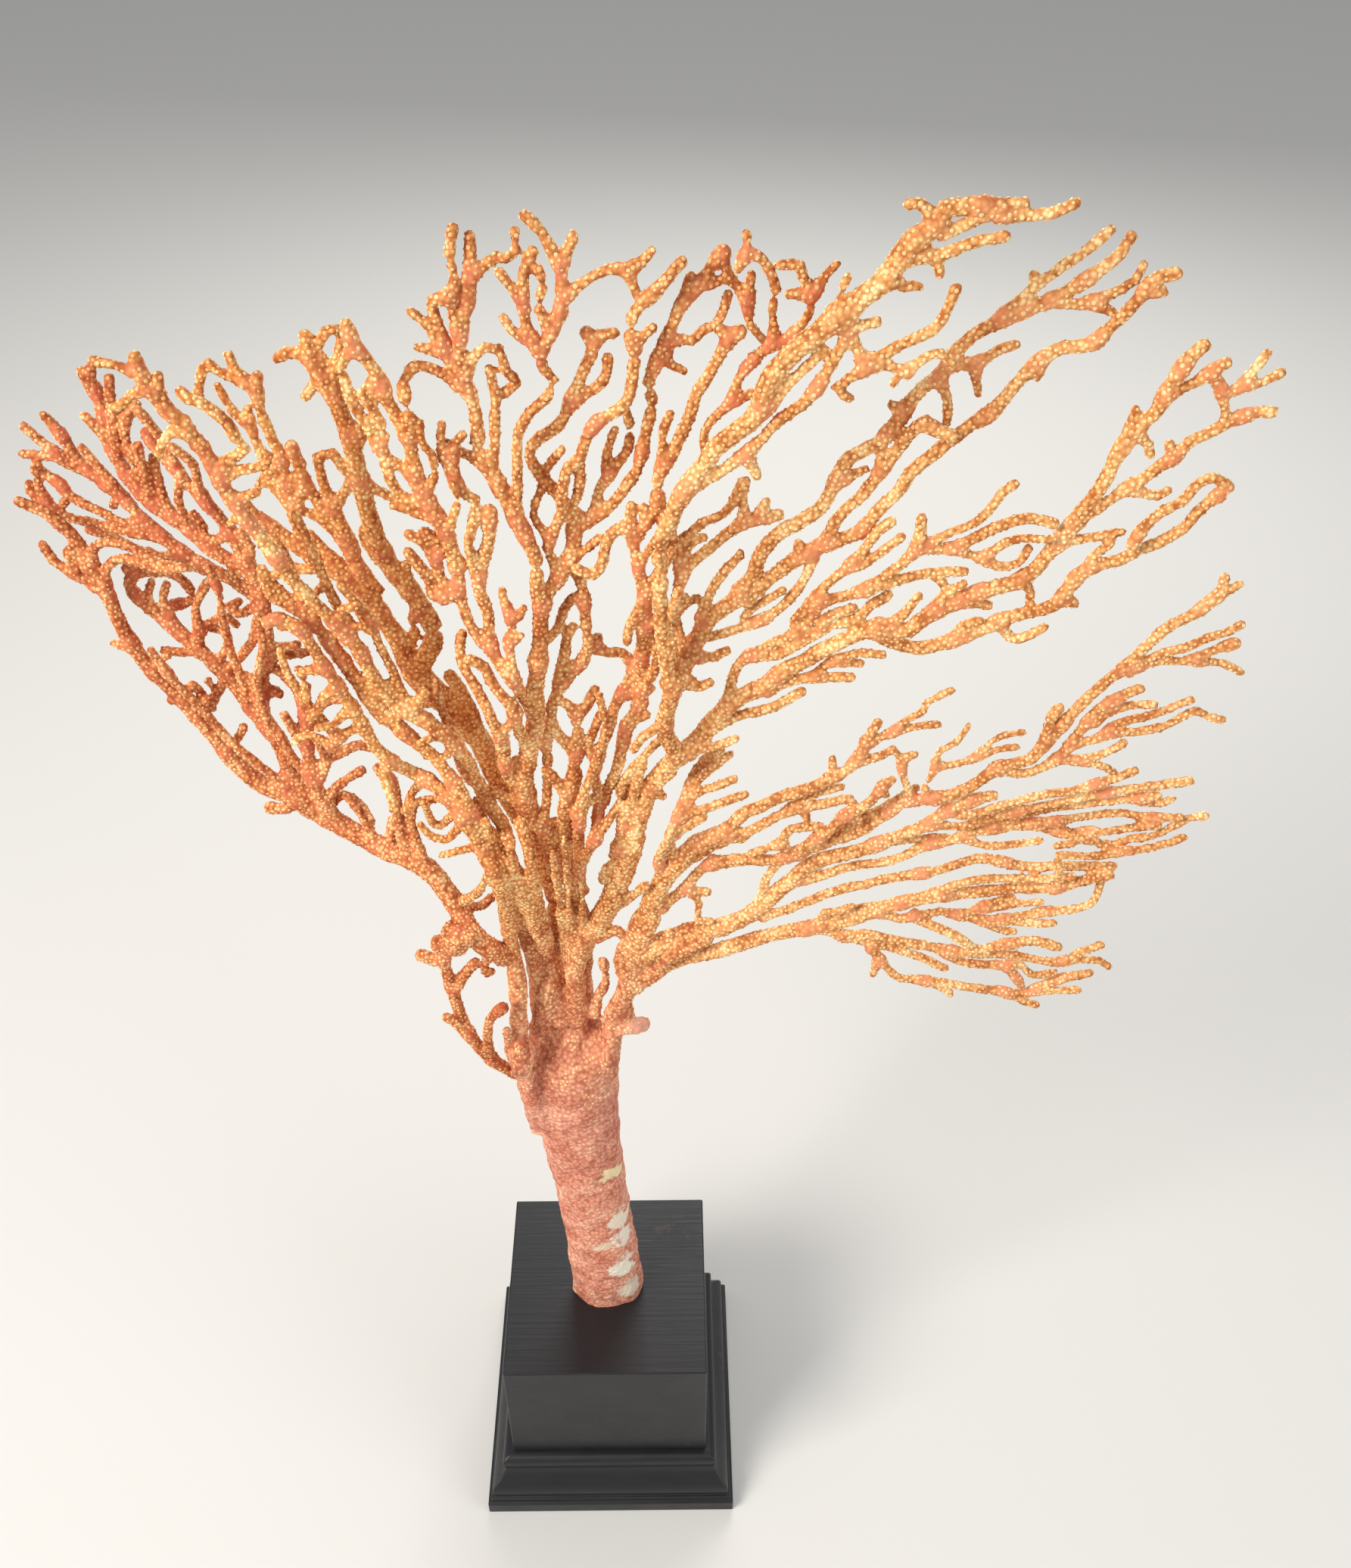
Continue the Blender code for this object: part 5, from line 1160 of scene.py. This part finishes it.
# %% [markdown]
# The skin of each wing is made by two modifiers in a row. A voxel remesh unites all tubes of
# the wing, as in one growth, with even small faces. A Geometry Nodes tree then moves that skin:
# swollen knots, lumps between them, and granules. It also stores how far a point is up a knot,
# which the finish reads to redden the knots.

# %% A Geometry Nodes tree for the knobbly skin
TRUNK_VOXEL = 0.0007
WING_VOXEL = 0.00058
SKIN_INPUTS = {
    "Knot reach": 0.0034, "Knot core": 0.0012, "Knot swell": 0.0004, "Lump size": 0.0034,
    "Lump height": 0.0008, "Granule size": 0.0013, "Granule height": 0.00022,
}
TRUNK_LUMPS = {"Lump size": 0.0075, "Lump height": 0.0024, "Knot swell": 0.0}
SKIN_PATTERNS = (
    ("Lump", "ShaderNodeTexNoise", 0.5, {"Detail": 2.0}),
    ("Granule", "ShaderNodeTexVoronoi", 0.45, {"Randomness": 0.9}),
)


def new_geometry_tree(name, sizes, *others):
    """A Geometry Nodes tree with a geometry in and out and named inputs for its sizes."""
    tree = bpy.data.node_groups.new(name, "GeometryNodeTree")
    tree.interface.new_socket("Geometry", in_out="INPUT", socket_type="NodeSocketGeometry")
    tree.interface.new_socket("Geometry", in_out="OUTPUT", socket_type="NodeSocketGeometry")
    for label in sizes:
        tree.interface.new_socket(label, in_out="INPUT", socket_type="NodeSocketFloat")
    for label, kind in (*others, ("Material", "NodeSocketMaterial")):
        tree.interface.new_socket(label, in_out="INPUT", socket_type=kind)
    return tree


def build_skin_tree():
    """The tree that moves a skin out at its knots, lumps and granules."""
    tree = new_geometry_tree("knobbly_skin", SKIN_INPUTS, ("Knots", "NodeSocketObject"))
    given = put(tree, "NodeGroupInput").outputs
    place = put(tree, "GeometryNodeInputPosition").outputs[0]
    normal = put(tree, "GeometryNodeInputNormal").outputs["Normal"]
    middles = put(tree, "GeometryNodeObjectInfo", None, {"Object": given["Knots"]})
    near = put(tree, "GeometryNodeProximity", None,
               {"Geometry": middles.outputs["Geometry"]}, target_element="POINTS")
    knot = put(tree, "ShaderNodeMapRange", None,
               {"Value": near.outputs["Distance"], "From Min": given["Knot reach"],
                "From Max": given["Knot core"]}, interpolation_type="SMOOTHSTEP").outputs[0]
    height = put(tree, "ShaderNodeMath", None, {0: knot, 1: given["Knot swell"]},
                 operation="MULTIPLY").outputs[0]
    for label, kind, middle, detail in SKIN_PATTERNS:
        scale = put(tree, "ShaderNodeMath", {0: 1.0}, {1: given[label + " size"]},
                    operation="DIVIDE").outputs[0]
        pattern = put(tree, kind, detail, {"Vector": place, "Scale": scale}).outputs[0]
        level = put(tree, "ShaderNodeMath", {1: middle}, {0: pattern}, operation="SUBTRACT")
        height = put(tree, "ShaderNodeMath", None,
                     {0: level.outputs[0], 1: given[label + " height"], 2: height},
                     operation="MULTIPLY_ADD").outputs[0]
    offset = put(tree, "ShaderNodeVectorMath", None, {0: normal, "Scale": height},
                 operation="SCALE").outputs[0]
    marked = put(tree, "GeometryNodeStoreNamedAttribute", {"Name": "knot"},
                 {"Geometry": given["Geometry"], "Value": knot}, data_type="FLOAT", domain="POINT")
    moved = put(tree, "GeometryNodeSetPosition", None,
                {"Geometry": marked.outputs[0], "Offset": offset})
    smooth = put(tree, "GeometryNodeSetShadeSmooth", {"Shade Smooth": True},
                 {"Geometry": moved.outputs[0]})
    real = put(tree, "GeometryNodeRealizeInstances", None, {"Geometry": smooth.outputs[0]})
    dressed = put(tree, "GeometryNodeSetMaterial", None,
                  {"Geometry": real.outputs[0], "Material": given["Material"]})
    put(tree, "NodeGroupOutput", None, {"Geometry": dressed.outputs[0]})
    return tree


skin_tree = build_skin_tree()
print("skin tree nodes:", len(skin_tree.nodes))

# %% [markdown]
# A modifier's inputs are set by the sockets' identifiers. The evaluated result is taken as a
# plain mesh, and the working object with its modifiers is thrown away. Crumbs that touch
# nothing are deleted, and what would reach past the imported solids' box is held back at it.

# %% Run a tree on a mesh
LEAST_ISLAND = 150
BOX_MARGIN = 0.00004


def set_inputs(modifier, values):
    """Set a Geometry Nodes modifier's inputs, given by their names."""
    for item in modifier.node_group.interface.items_tree:
        if item.item_type == "SOCKET" and item.in_out == "INPUT" and item.name in values:
            modifier[item.identifier] = values[item.name]


def plain_mesh(working):
    """The evaluated mesh of a working object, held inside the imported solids' box."""
    mesh = evaluated_mesh(working)
    places = np.empty(3 * len(mesh.vertices), dtype=np.float32)
    mesh.vertices.foreach_get("co", places)
    held = np.clip(places.reshape(-1, 3), np.array(cad_box[0]) + BOX_MARGIN,
                   np.array(cad_box[1]) - BOX_MARGIN)
    mesh.vertices.foreach_set("co", held.astype(np.float32).ravel())
    mesh.update()
    return mesh


def remove_crumbs(form):
    """Delete the islands of a form that have only a few corners."""
    seen = set()
    crumbs = []
    for seed in form.verts:
        if seed in seen:
            continue
        seen.add(seed)
        island = [seed]
        for vertex in island:
            for edge in vertex.link_edges:
                other = edge.other_vert(vertex)
                if other not in seen:
                    seen.add(other)
                    island.append(other)
        if len(island) < LEAST_ISLAND:
            crumbs.extend(island)
    bmesh.ops.delete(form, geom=crumbs, context="VERTS")
    return len(crumbs)


def triangle_count(mesh):
    """How many triangles a mesh has."""
    return sum(len(polygon.vertices) - 2 for polygon in mesh.polygons)


def make_skin(wing, material):
    """The skin of one wing as a plain mesh."""
    mesh = bpy.data.meshes.new(wing + "_tubes")
    forms[wing].to_mesh(mesh)
    working = link_object(wing + "_work", mesh)
    union = working.modifiers.new("union", "REMESH")
    union.mode = "VOXEL"
    union.voxel_size = TRUNK_VOXEL if wing == "trunk" else WING_VOXEL
    skin = working.modifiers.new("skin", "NODES")
    skin.node_group = skin_tree
    lumps = TRUNK_LUMPS if wing == "trunk" else {}
    set_inputs(skin, {**SKIN_INPUTS, **lumps, "Knots": knot_points[wing], "Material": material})
    made = plain_mesh(working)
    bpy.data.meshes.remove(knot_points.pop(wing).data)
    form = bmesh.new()
    form.from_mesh(made)
    crumbs = remove_crumbs(form)
    form.to_mesh(made)
    form.free()
    print(wing, "crumbs:", crumbs)
    return made


# %% [markdown]
# A living sea fan wears a rind of soft tissue packed with tiny limy grains. Dried, the rind is
# matt and sandy: pale yellow on its high grains, orange between, red-orange in its gaps.
# The swollen knots at the forks are redder. The grains are about a millimetre apart, so that is the
# scale of the cell pattern, and slow noise shifts the mix from place to place. The trunk is smoother
# and pinker than the twigs, and takes on the colour of the crown where its strands rise.
# The back wing's tints are darker and redder: that is painted shade, as it lies behind the front
# wing.

# %% Dried rind of limy grains
GRAIN_SPACING = 0.00115
MOTTLE_SIZE = 0.009
MOTTLE_DETAIL = {"Scale": 1.0 / MOTTLE_SIZE, "Detail": 5.0, "Roughness": 0.62}
GRAIN_SHARE = 0.55
PALE_STOP = 0.46
BODY_STOP = 0.66
GAPS_STOP = 0.98
RIND_ROUGHNESS = 0.82
RIND_SPECULAR = 0.35
GRAIN_BUMP = {"Strength": 0.6, "Distance": 0.00035}
RIND_TINTS = {
    "trunk": ("F6CDAC", "E29C80", "B8664E", "D87C60"),
    "front_wing": ("FFE3A4", "E8A058", "AE5A2A", "E28660"),
    # Painted shade: the back wing's four tints are darker, redder copies, for the shade behind the
    # front wing.
    "back_wing": ("FCD498", "DA8850", "A24A26", "DA7452"),
    "crown": ("FEE0A2", "E29A58", "A65628", "E2825E"),
    "upper_right_wing": ("FFE5AA", "EAAA66", "B0642E", "E68E62"),
    "lower_right_wing": ("FEE4AC", "EAAA68", "B26834", "E69068"),
}
STAIN_DETAIL = {"Scale": 1.0 / 0.030, "Detail": 2.0}
STAIN_TO_REDNESS = {"From Min": 0.35, "From Max": 0.6, "To Min": 0.10, "To Max": 0.75}
STRANDS_FROM = 0.165
STRANDS_TO = 0.240


def knot_share(tree, place):
    """How much of the knots' redder tint shows: more on a knot's top, and more in places."""
    knot = put(tree, "ShaderNodeAttribute", attribute_name="knot").outputs["Fac"]
    stain = put(tree, "ShaderNodeTexNoise", STAIN_DETAIL, {"Vector": place}).outputs["Fac"]
    strength = put(tree, "ShaderNodeMapRange", STAIN_TO_REDNESS, {"Value": stain}).outputs[0]
    return put(tree, "ShaderNodeMath", None, {0: knot, 1: strength}, operation="MULTIPLY").outputs[0]


def grain_colour(tree, level, tints):
    """The colour of each grain, from pale on its top through the body's to that of the gaps."""
    ramp = put(tree, "ShaderNodeValToRGB", None, {"Fac": level})
    stops = ramp.color_ramp.elements
    stops[0].position, stops[0].color = PALE_STOP, hex_colour(tints[0])
    stops[1].position, stops[1].color = GAPS_STOP, hex_colour(tints[2])
    stops.new(BODY_STOP).color = hex_colour(tints[1])
    return ramp.outputs["Color"]


def rind_material(name, tints):
    """The sandy rind, from its pale grains, its orange body, its red gaps and its knots."""
    material, tree, shader = new_material("dried_rind_of_limy_grains_" + name)
    place = put(tree, "ShaderNodeTexCoord").outputs["Object"]
    grains = put(tree, "ShaderNodeTexVoronoi", {"Scale": 1.0 / GRAIN_SPACING, "Randomness": 0.9},
                 {"Vector": place}, feature="F1").outputs["Distance"]
    mottle = put(tree, "ShaderNodeTexNoise", MOTTLE_DETAIL, {"Vector": place}).outputs["Fac"]
    level = put(tree, "ShaderNodeMath", {1: GRAIN_SHARE}, {0: grains, 2: mottle},
                operation="MULTIPLY_ADD").outputs[0]
    colour = put(tree, "ShaderNodeMix", {7: hex_colour(tints[3])},
                 {"Factor": knot_share(tree, place), 6: grain_colour(tree, level, tints)},
                 data_type="RGBA").outputs[2]
    if name == "trunk":
        strands = grain_colour(tree, level, RIND_TINTS["crown"])
        high = put(tree, "ShaderNodeSeparateXYZ", None, {"Vector": place}).outputs["Z"]
        rise = put(tree, "ShaderNodeMapRange", {"From Min": STRANDS_FROM, "From Max": STRANDS_TO},
                   {"Value": high}).outputs["Result"]
        blend = put(tree, "ShaderNodeMix", None, {"Factor": rise, 6: colour, 7: strands},
                    data_type="RGBA")
        colour = bare_patches(tree, place, blend.outputs[2])
    tree.links.new(colour, shader.inputs["Base Color"])
    shader.inputs["Roughness"].default_value = RIND_ROUGHNESS
    shader.inputs["Specular IOR Level"].default_value = RIND_SPECULAR
    bump = put(tree, "ShaderNodeBump", GRAIN_BUMP, {"Height": grains}, invert=True)
    tree.links.new(bump.outputs["Normal"], shader.inputs["Normal"])
    return material


print("wings with tints:", len(RIND_TINTS))

# %% [markdown]
# The rind has flaked off the trunk's right side here and there, and the limy tissue under it is
# cream. One cut stub is pink. Each patch is given by its position in the photo, its radius in mm
# and its colour. Fine noise, added to the distance from its middle, tears its edge.

# %% Bare patches on the trunk
BARE_PATCHES = (
    (818, 1612, 3.6, "EEDDC4"), (822, 1632, 3.2, "EFE0CC"), (822, 1670, 3.8, "F3E6D0"),
    (830, 1700, 3.2, "E9D3B8"), (812, 1727, 3.6, "EAD2B4"), (806, 1552, 2.8, "F0D8A8"),
    (795, 1645, 1.8, "EBCFB2"), (842, 1357, 3.6, "E9A48A"),
)
MM = 0.001
TEAR_DETAIL = {"Scale": 260.0, "Detail": 4.0}
TEAR_REACH = 0.012
PATCH_OUTSIDE = 0.0068
PATCH_INSIDE = 0.0056


def bare_patches(tree, place, colour):
    """Lay the pale bare patches over a colour, each with a ragged edge."""
    trunk_surface = surface_of(["trunk"])
    ragged = put(tree, "ShaderNodeTexNoise", TEAR_DETAIL, {"Vector": place}).outputs["Fac"]
    for x, y, radius, code in BARE_PATCHES:
        beside = trunk_surface.find_nearest(at_depth(x, y, 0.0))[0]
        middle = trunk_surface.ray_cast(EYE, view_ray(x, y))[0] or beside
        away = put(tree, "ShaderNodeVectorMath", {1: middle}, {0: place},
                   operation="DISTANCE").outputs["Value"]
        torn = put(tree, "ShaderNodeMath", {1: TEAR_REACH}, {0: ragged, 2: away},
                   operation="MULTIPLY_ADD").outputs[0]
        inside = put(tree, "ShaderNodeMapRange",
                     {"From Min": MM * radius + PATCH_OUTSIDE,
                      "From Max": MM * radius + PATCH_INSIDE},
                     {"Value": torn}).outputs["Result"]
        colour = put(tree, "ShaderNodeMix", {7: hex_colour(code)}, {"Factor": inside, 6: colour},
                     data_type="RGBA").outputs[2]
    return colour


rinds = {wing: rind_material(wing, tints) for wing, tints in RIND_TINTS.items()}
print("rinds:", len(rinds))

# %% [markdown]
# Now each wing's skin is made and given its rind. It stands in for the imported limbs of its wing,
# which are hidden.

# %% Skins for the trunk and the wings
skins = {}
for wing, limbs in WINGS.items():
    mesh = make_skin(wing, rinds[wing])
    skins[wing] = add_piece(wing + "_skin", mesh, rinds[wing])
    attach(skins[wing], "root")
    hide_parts(*limbs)
    print(wing, "triangles:", triangle_count(mesh))

# %% [markdown]
# The yellow dots on the rind are the dried cups of polyps, packed closely on every twig.
# There are tens of thousands, so each is a low cone with few faces. A Geometry Nodes tree
# scatters them no closer than a set distance, so they pack as the real ones do. The trunk's
# lower part has none: they start among its strands.

# %% Polyp cups
POLYP_INPUTS = {"Spacing": 0.00094, "Radius": 0.00044, "Height": 0.0003,
                "Bare below": STRANDS_FROM, "Full above": STRANDS_TO}
WING_START = {"Bare below": 0.10, "Full above": 0.12}
POLYP_SIDES = 5
BARE_ON_KNOTS = 0.35
POLYP_SEED = 11
POLYP_DENSITY_MOST = 2000000.0
CUP_SIZES = (0.65, 1.15)
CUP_MOTTLE = {"Scale": 1.0 / MOTTLE_SIZE, "Detail": 6.0, "Roughness": 0.7}
CUP_PALE_STOP = 0.38
CUP_BODY_STOP = 0.64
CUP_ROUGHNESS = 0.8
CUP_SPECULAR = 0.3


def build_polyp_tree():
    """The tree that scatters polyp cups over a skin, fewer on knots and none low on the trunk."""
    tree = new_geometry_tree("polyp_cups", POLYP_INPUTS)
    given = put(tree, "NodeGroupInput").outputs
    knot = put(tree, "GeometryNodeInputNamedAttribute", {"Name": "knot"}, data_type="FLOAT")
    off_knots = put(tree, "ShaderNodeMath", {1: -BARE_ON_KNOTS, 2: 1.0},
                    {0: knot.outputs["Attribute"]}, operation="MULTIPLY_ADD").outputs[0]
    place = put(tree, "GeometryNodeInputPosition").outputs[0]
    high = put(tree, "ShaderNodeSeparateXYZ", None, {"Vector": place}).outputs["Z"]
    rise = put(tree, "ShaderNodeMapRange", None,
               {"Value": high, "From Min": given["Bare below"],
                "From Max": given["Full above"]}).outputs["Result"]
    factor = put(tree, "ShaderNodeMath", None, {0: off_knots, 1: rise},
                 operation="MULTIPLY").outputs[0]
    spots = put(tree, "GeometryNodeDistributePointsOnFaces",
                {"Density Max": POLYP_DENSITY_MOST, "Seed": POLYP_SEED},
                {"Mesh": given["Geometry"], "Distance Min": given["Spacing"],
                 "Density Factor": factor},
                distribute_method="POISSON")
    cup = put(tree, "GeometryNodeMeshCone", {"Vertices": POLYP_SIDES, "Radius Top": 0.0},
              {"Radius Bottom": given["Radius"], "Depth": given["Height"]}, fill_type="NONE")
    size = put(tree, "FunctionNodeRandomValue",
               {"Seed": POLYP_SEED + 1, 2: CUP_SIZES[0], 3: CUP_SIZES[1]}, data_type="FLOAT")
    placed = put(tree, "GeometryNodeInstanceOnPoints", None,
                 {"Points": spots.outputs["Points"], "Instance": cup.outputs["Mesh"],
                  "Rotation": spots.outputs["Rotation"], "Scale": size.outputs[1]})
    smooth = put(tree, "GeometryNodeSetShadeSmooth", {"Shade Smooth": True},
                 {"Geometry": placed.outputs[0]})
    real = put(tree, "GeometryNodeRealizeInstances", None, {"Geometry": smooth.outputs[0]})
    dressed = put(tree, "GeometryNodeSetMaterial", None,
                  {"Geometry": real.outputs[0], "Material": given["Material"]})
    put(tree, "NodeGroupOutput", None, {"Geometry": dressed.outputs[0]})
    return tree


def polyp_material(name, tints):
    """The polyp cups: paler and yellower than the rind, no two quite alike."""
    pale, body = (hex_colour(code) for code in tints[:2])
    material, tree, shader = new_material("dried_polyp_cups_" + name)
    place = put(tree, "ShaderNodeTexCoord").outputs["Object"]
    mottle = put(tree, "ShaderNodeTexNoise", CUP_MOTTLE, {"Vector": place}).outputs["Fac"]
    ramp = put(tree, "ShaderNodeValToRGB", None, {"Fac": mottle})
    stops = ramp.color_ramp.elements
    stops[0].position, stops[0].color = CUP_PALE_STOP, pale
    stops[1].position, stops[1].color = CUP_BODY_STOP, body
    tree.links.new(ramp.outputs["Color"], shader.inputs["Base Color"])
    shader.inputs["Roughness"].default_value = CUP_ROUGHNESS
    shader.inputs["Specular IOR Level"].default_value = CUP_SPECULAR
    return material


polyp_tree = build_polyp_tree()
polyp_total = 0
for wing in WINGS:
    # The back wing's cups take its darker tints, so they carry its painted shade too.
    tints = RIND_TINTS["crown" if wing == "trunk" else wing]
    start = {} if wing == "trunk" else WING_START
    finish = polyp_material(wing, tints)
    working = link_object("polyps_work", skins[wing].data.copy())
    scatter = working.modifiers.new("scatter", "NODES")
    scatter.node_group = polyp_tree
    set_inputs(scatter, {**POLYP_INPUTS, **start, "Material": finish})
    cups = add_piece(wing + "_polyps", plain_mesh(working), finish)
    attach(cups, "root")
    polyp_total += triangle_count(cups.data)
print("triangles in polyp cups:", polyp_total)

# %% [markdown]
# The plinth is wood: a square block on a wider foot with a moulded edge, mitred at its corners.
# Both are drawn as square rings, one above the other, each with its half width and height.
# A small bevel rounds the arrises, as sanding and paint do.

# %% Plinth block and moulding
ARRIS = 0.0005
ARRIS_STEPS = 3
ARRIS_ANGLE = math.radians(25)
foot_low, foot_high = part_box("plinth_moulding")
block_low, block_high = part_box("plinth_block")
foot_half = foot_high[0]
block_half = block_high[0]
foot_top = foot_high[2]
FILLET_HIGH = 0.0050
FILLET_TILT = 0.0002
RIDGE_IN = 0.0010
RIDGE_HIGH = 0.0066
RIDGE_TILT = 0.0003
OGEE_IN = 0.0022
OGEE_SWELL = 0.0013
OGEE_STEPS = 12
STEP_OUT = 0.0034
STEP_HIGH = 0.0034
COVE_HIGH = 0.0022
COVE_GAP = 0.0004
COVE_STEPS = 4


def moulding_profile():
    """Half widths and heights, from the foot's bottom edge up to the block."""
    low = foot_low[2]
    step = block_half + STEP_OUT
    profile = [(foot_half, low), (foot_half, low + FILLET_HIGH),
               (foot_half - RIDGE_IN, low + FILLET_HIGH + FILLET_TILT),
               (foot_half - RIDGE_IN, low + RIDGE_HIGH)]
    start = foot_half - OGEE_IN
    base = low + RIDGE_HIGH + RIDGE_TILT
    rise = foot_top - STEP_HIGH - base
    for number in range(OGEE_STEPS + 1):
        share = number / OGEE_STEPS
        swell = OGEE_SWELL * math.sin(2.0 * math.pi * share)
        profile.append((start + (step - start) * share + swell, base + rise * share))
    profile.append((step, foot_top - COVE_HIGH))
    for number in range(1, COVE_STEPS + 1):
        angle = 0.5 * math.pi * number / COVE_STEPS
        out = step - (step - block_half - COVE_GAP) * (1.0 - math.cos(angle))
        profile.append((out, foot_top - COVE_HIGH + COVE_HIGH * math.sin(angle)))
    return profile


def square_rings(name, profile):
    """A closed solid of square rings."""
    form = bmesh.new()
    rings = []
    for half, height in profile:
        corners = ((-half, -half), (half, -half), (half, half), (-half, half))
        rings.append([form.verts.new((x, y, height)) for x, y in corners])
    join_rings(form, rings)
    bmesh.ops.recalc_face_normals(form, faces=form.faces)
    mesh = bpy.data.meshes.new(name)
    form.to_mesh(mesh)
    form.free()
    return mesh


print("moulding rings:", len(moulding_profile()))

# %% [markdown]
# The paint is black and satin, and was put on with a brush along the wood. The brush left fine
# lines in one direction, and handling has dulled and greyed the paint in small scuffed spots.

# %% Black paint on the plinth
BRUSH_LINES = (40.0, 900.0, 900.0)
BRUSH_DETAIL = {"Scale": 1.0, "Detail": 4.0}
SCUFF_DETAIL = {"Scale": 90.0, "Detail": 6.0, "Roughness": 0.65}
SCUFF_EDGE = {"From Min": 0.66, "From Max": 0.74}
SATIN_TO_DULL = {"To Min": 0.30, "To Max": 0.55}
BRUSH_BUMP = {"Strength": 0.25, "Distance": 0.0003}
PAINT_BLACK = "17171A"
PAINT_SCUFFED = "3A3632"


def painted_wood():
    """Black paint brushed on wood: satin, with faint brush lines and greyer where it is scuffed."""
    material, tree, shader = new_material("satin_black_paint_on_wood")
    place = put(tree, "ShaderNodeTexCoord").outputs["Object"]
    stretched = put(tree, "ShaderNodeMapping", {"Scale": BRUSH_LINES}, {"Vector": place}).outputs[0]
    lines = put(tree, "ShaderNodeTexNoise", BRUSH_DETAIL, {"Vector": stretched}).outputs["Fac"]
    scuffs = put(tree, "ShaderNodeTexNoise", SCUFF_DETAIL, {"Vector": place}).outputs["Fac"]
    worn = put(tree, "ShaderNodeMapRange", SCUFF_EDGE, {"Value": scuffs}).outputs["Result"]
    tint = put(tree, "ShaderNodeMix", {6: hex_colour(PAINT_BLACK), 7: hex_colour(PAINT_SCUFFED)},
               {"Factor": worn}, data_type="RGBA")
    tree.links.new(tint.outputs[2], shader.inputs["Base Color"])
    shine = put(tree, "ShaderNodeMapRange", SATIN_TO_DULL, {"Value": scuffs}).outputs["Result"]
    tree.links.new(shine, shader.inputs["Roughness"])
    bump = put(tree, "ShaderNodeBump", BRUSH_BUMP, {"Height": lines})
    tree.links.new(bump.outputs["Normal"], shader.inputs["Normal"])
    return material


paint = painted_wood()
block_profile = [(block_half, block_low[2]), (block_half, block_high[2])]
for node, profile in (("plinth_moulding", moulding_profile()), ("plinth_block", block_profile)):
    piece = add_piece(node + "_painted", square_rings(node, profile), paint)
    arris = piece.modifiers.new("arris", "BEVEL")
    arris.width = ARRIS
    arris.segments = ARRIS_STEPS
    arris.limit_method = "ANGLE"
    arris.angle_limit = ARRIS_ANGLE
    for polygon in piece.data.polygons:
        polygon.use_smooth = True
    arris.harden_normals = True
    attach(piece, "root")
    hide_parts(node)
print("plinth top in mm:", round(1000 * block_high[2], 1))
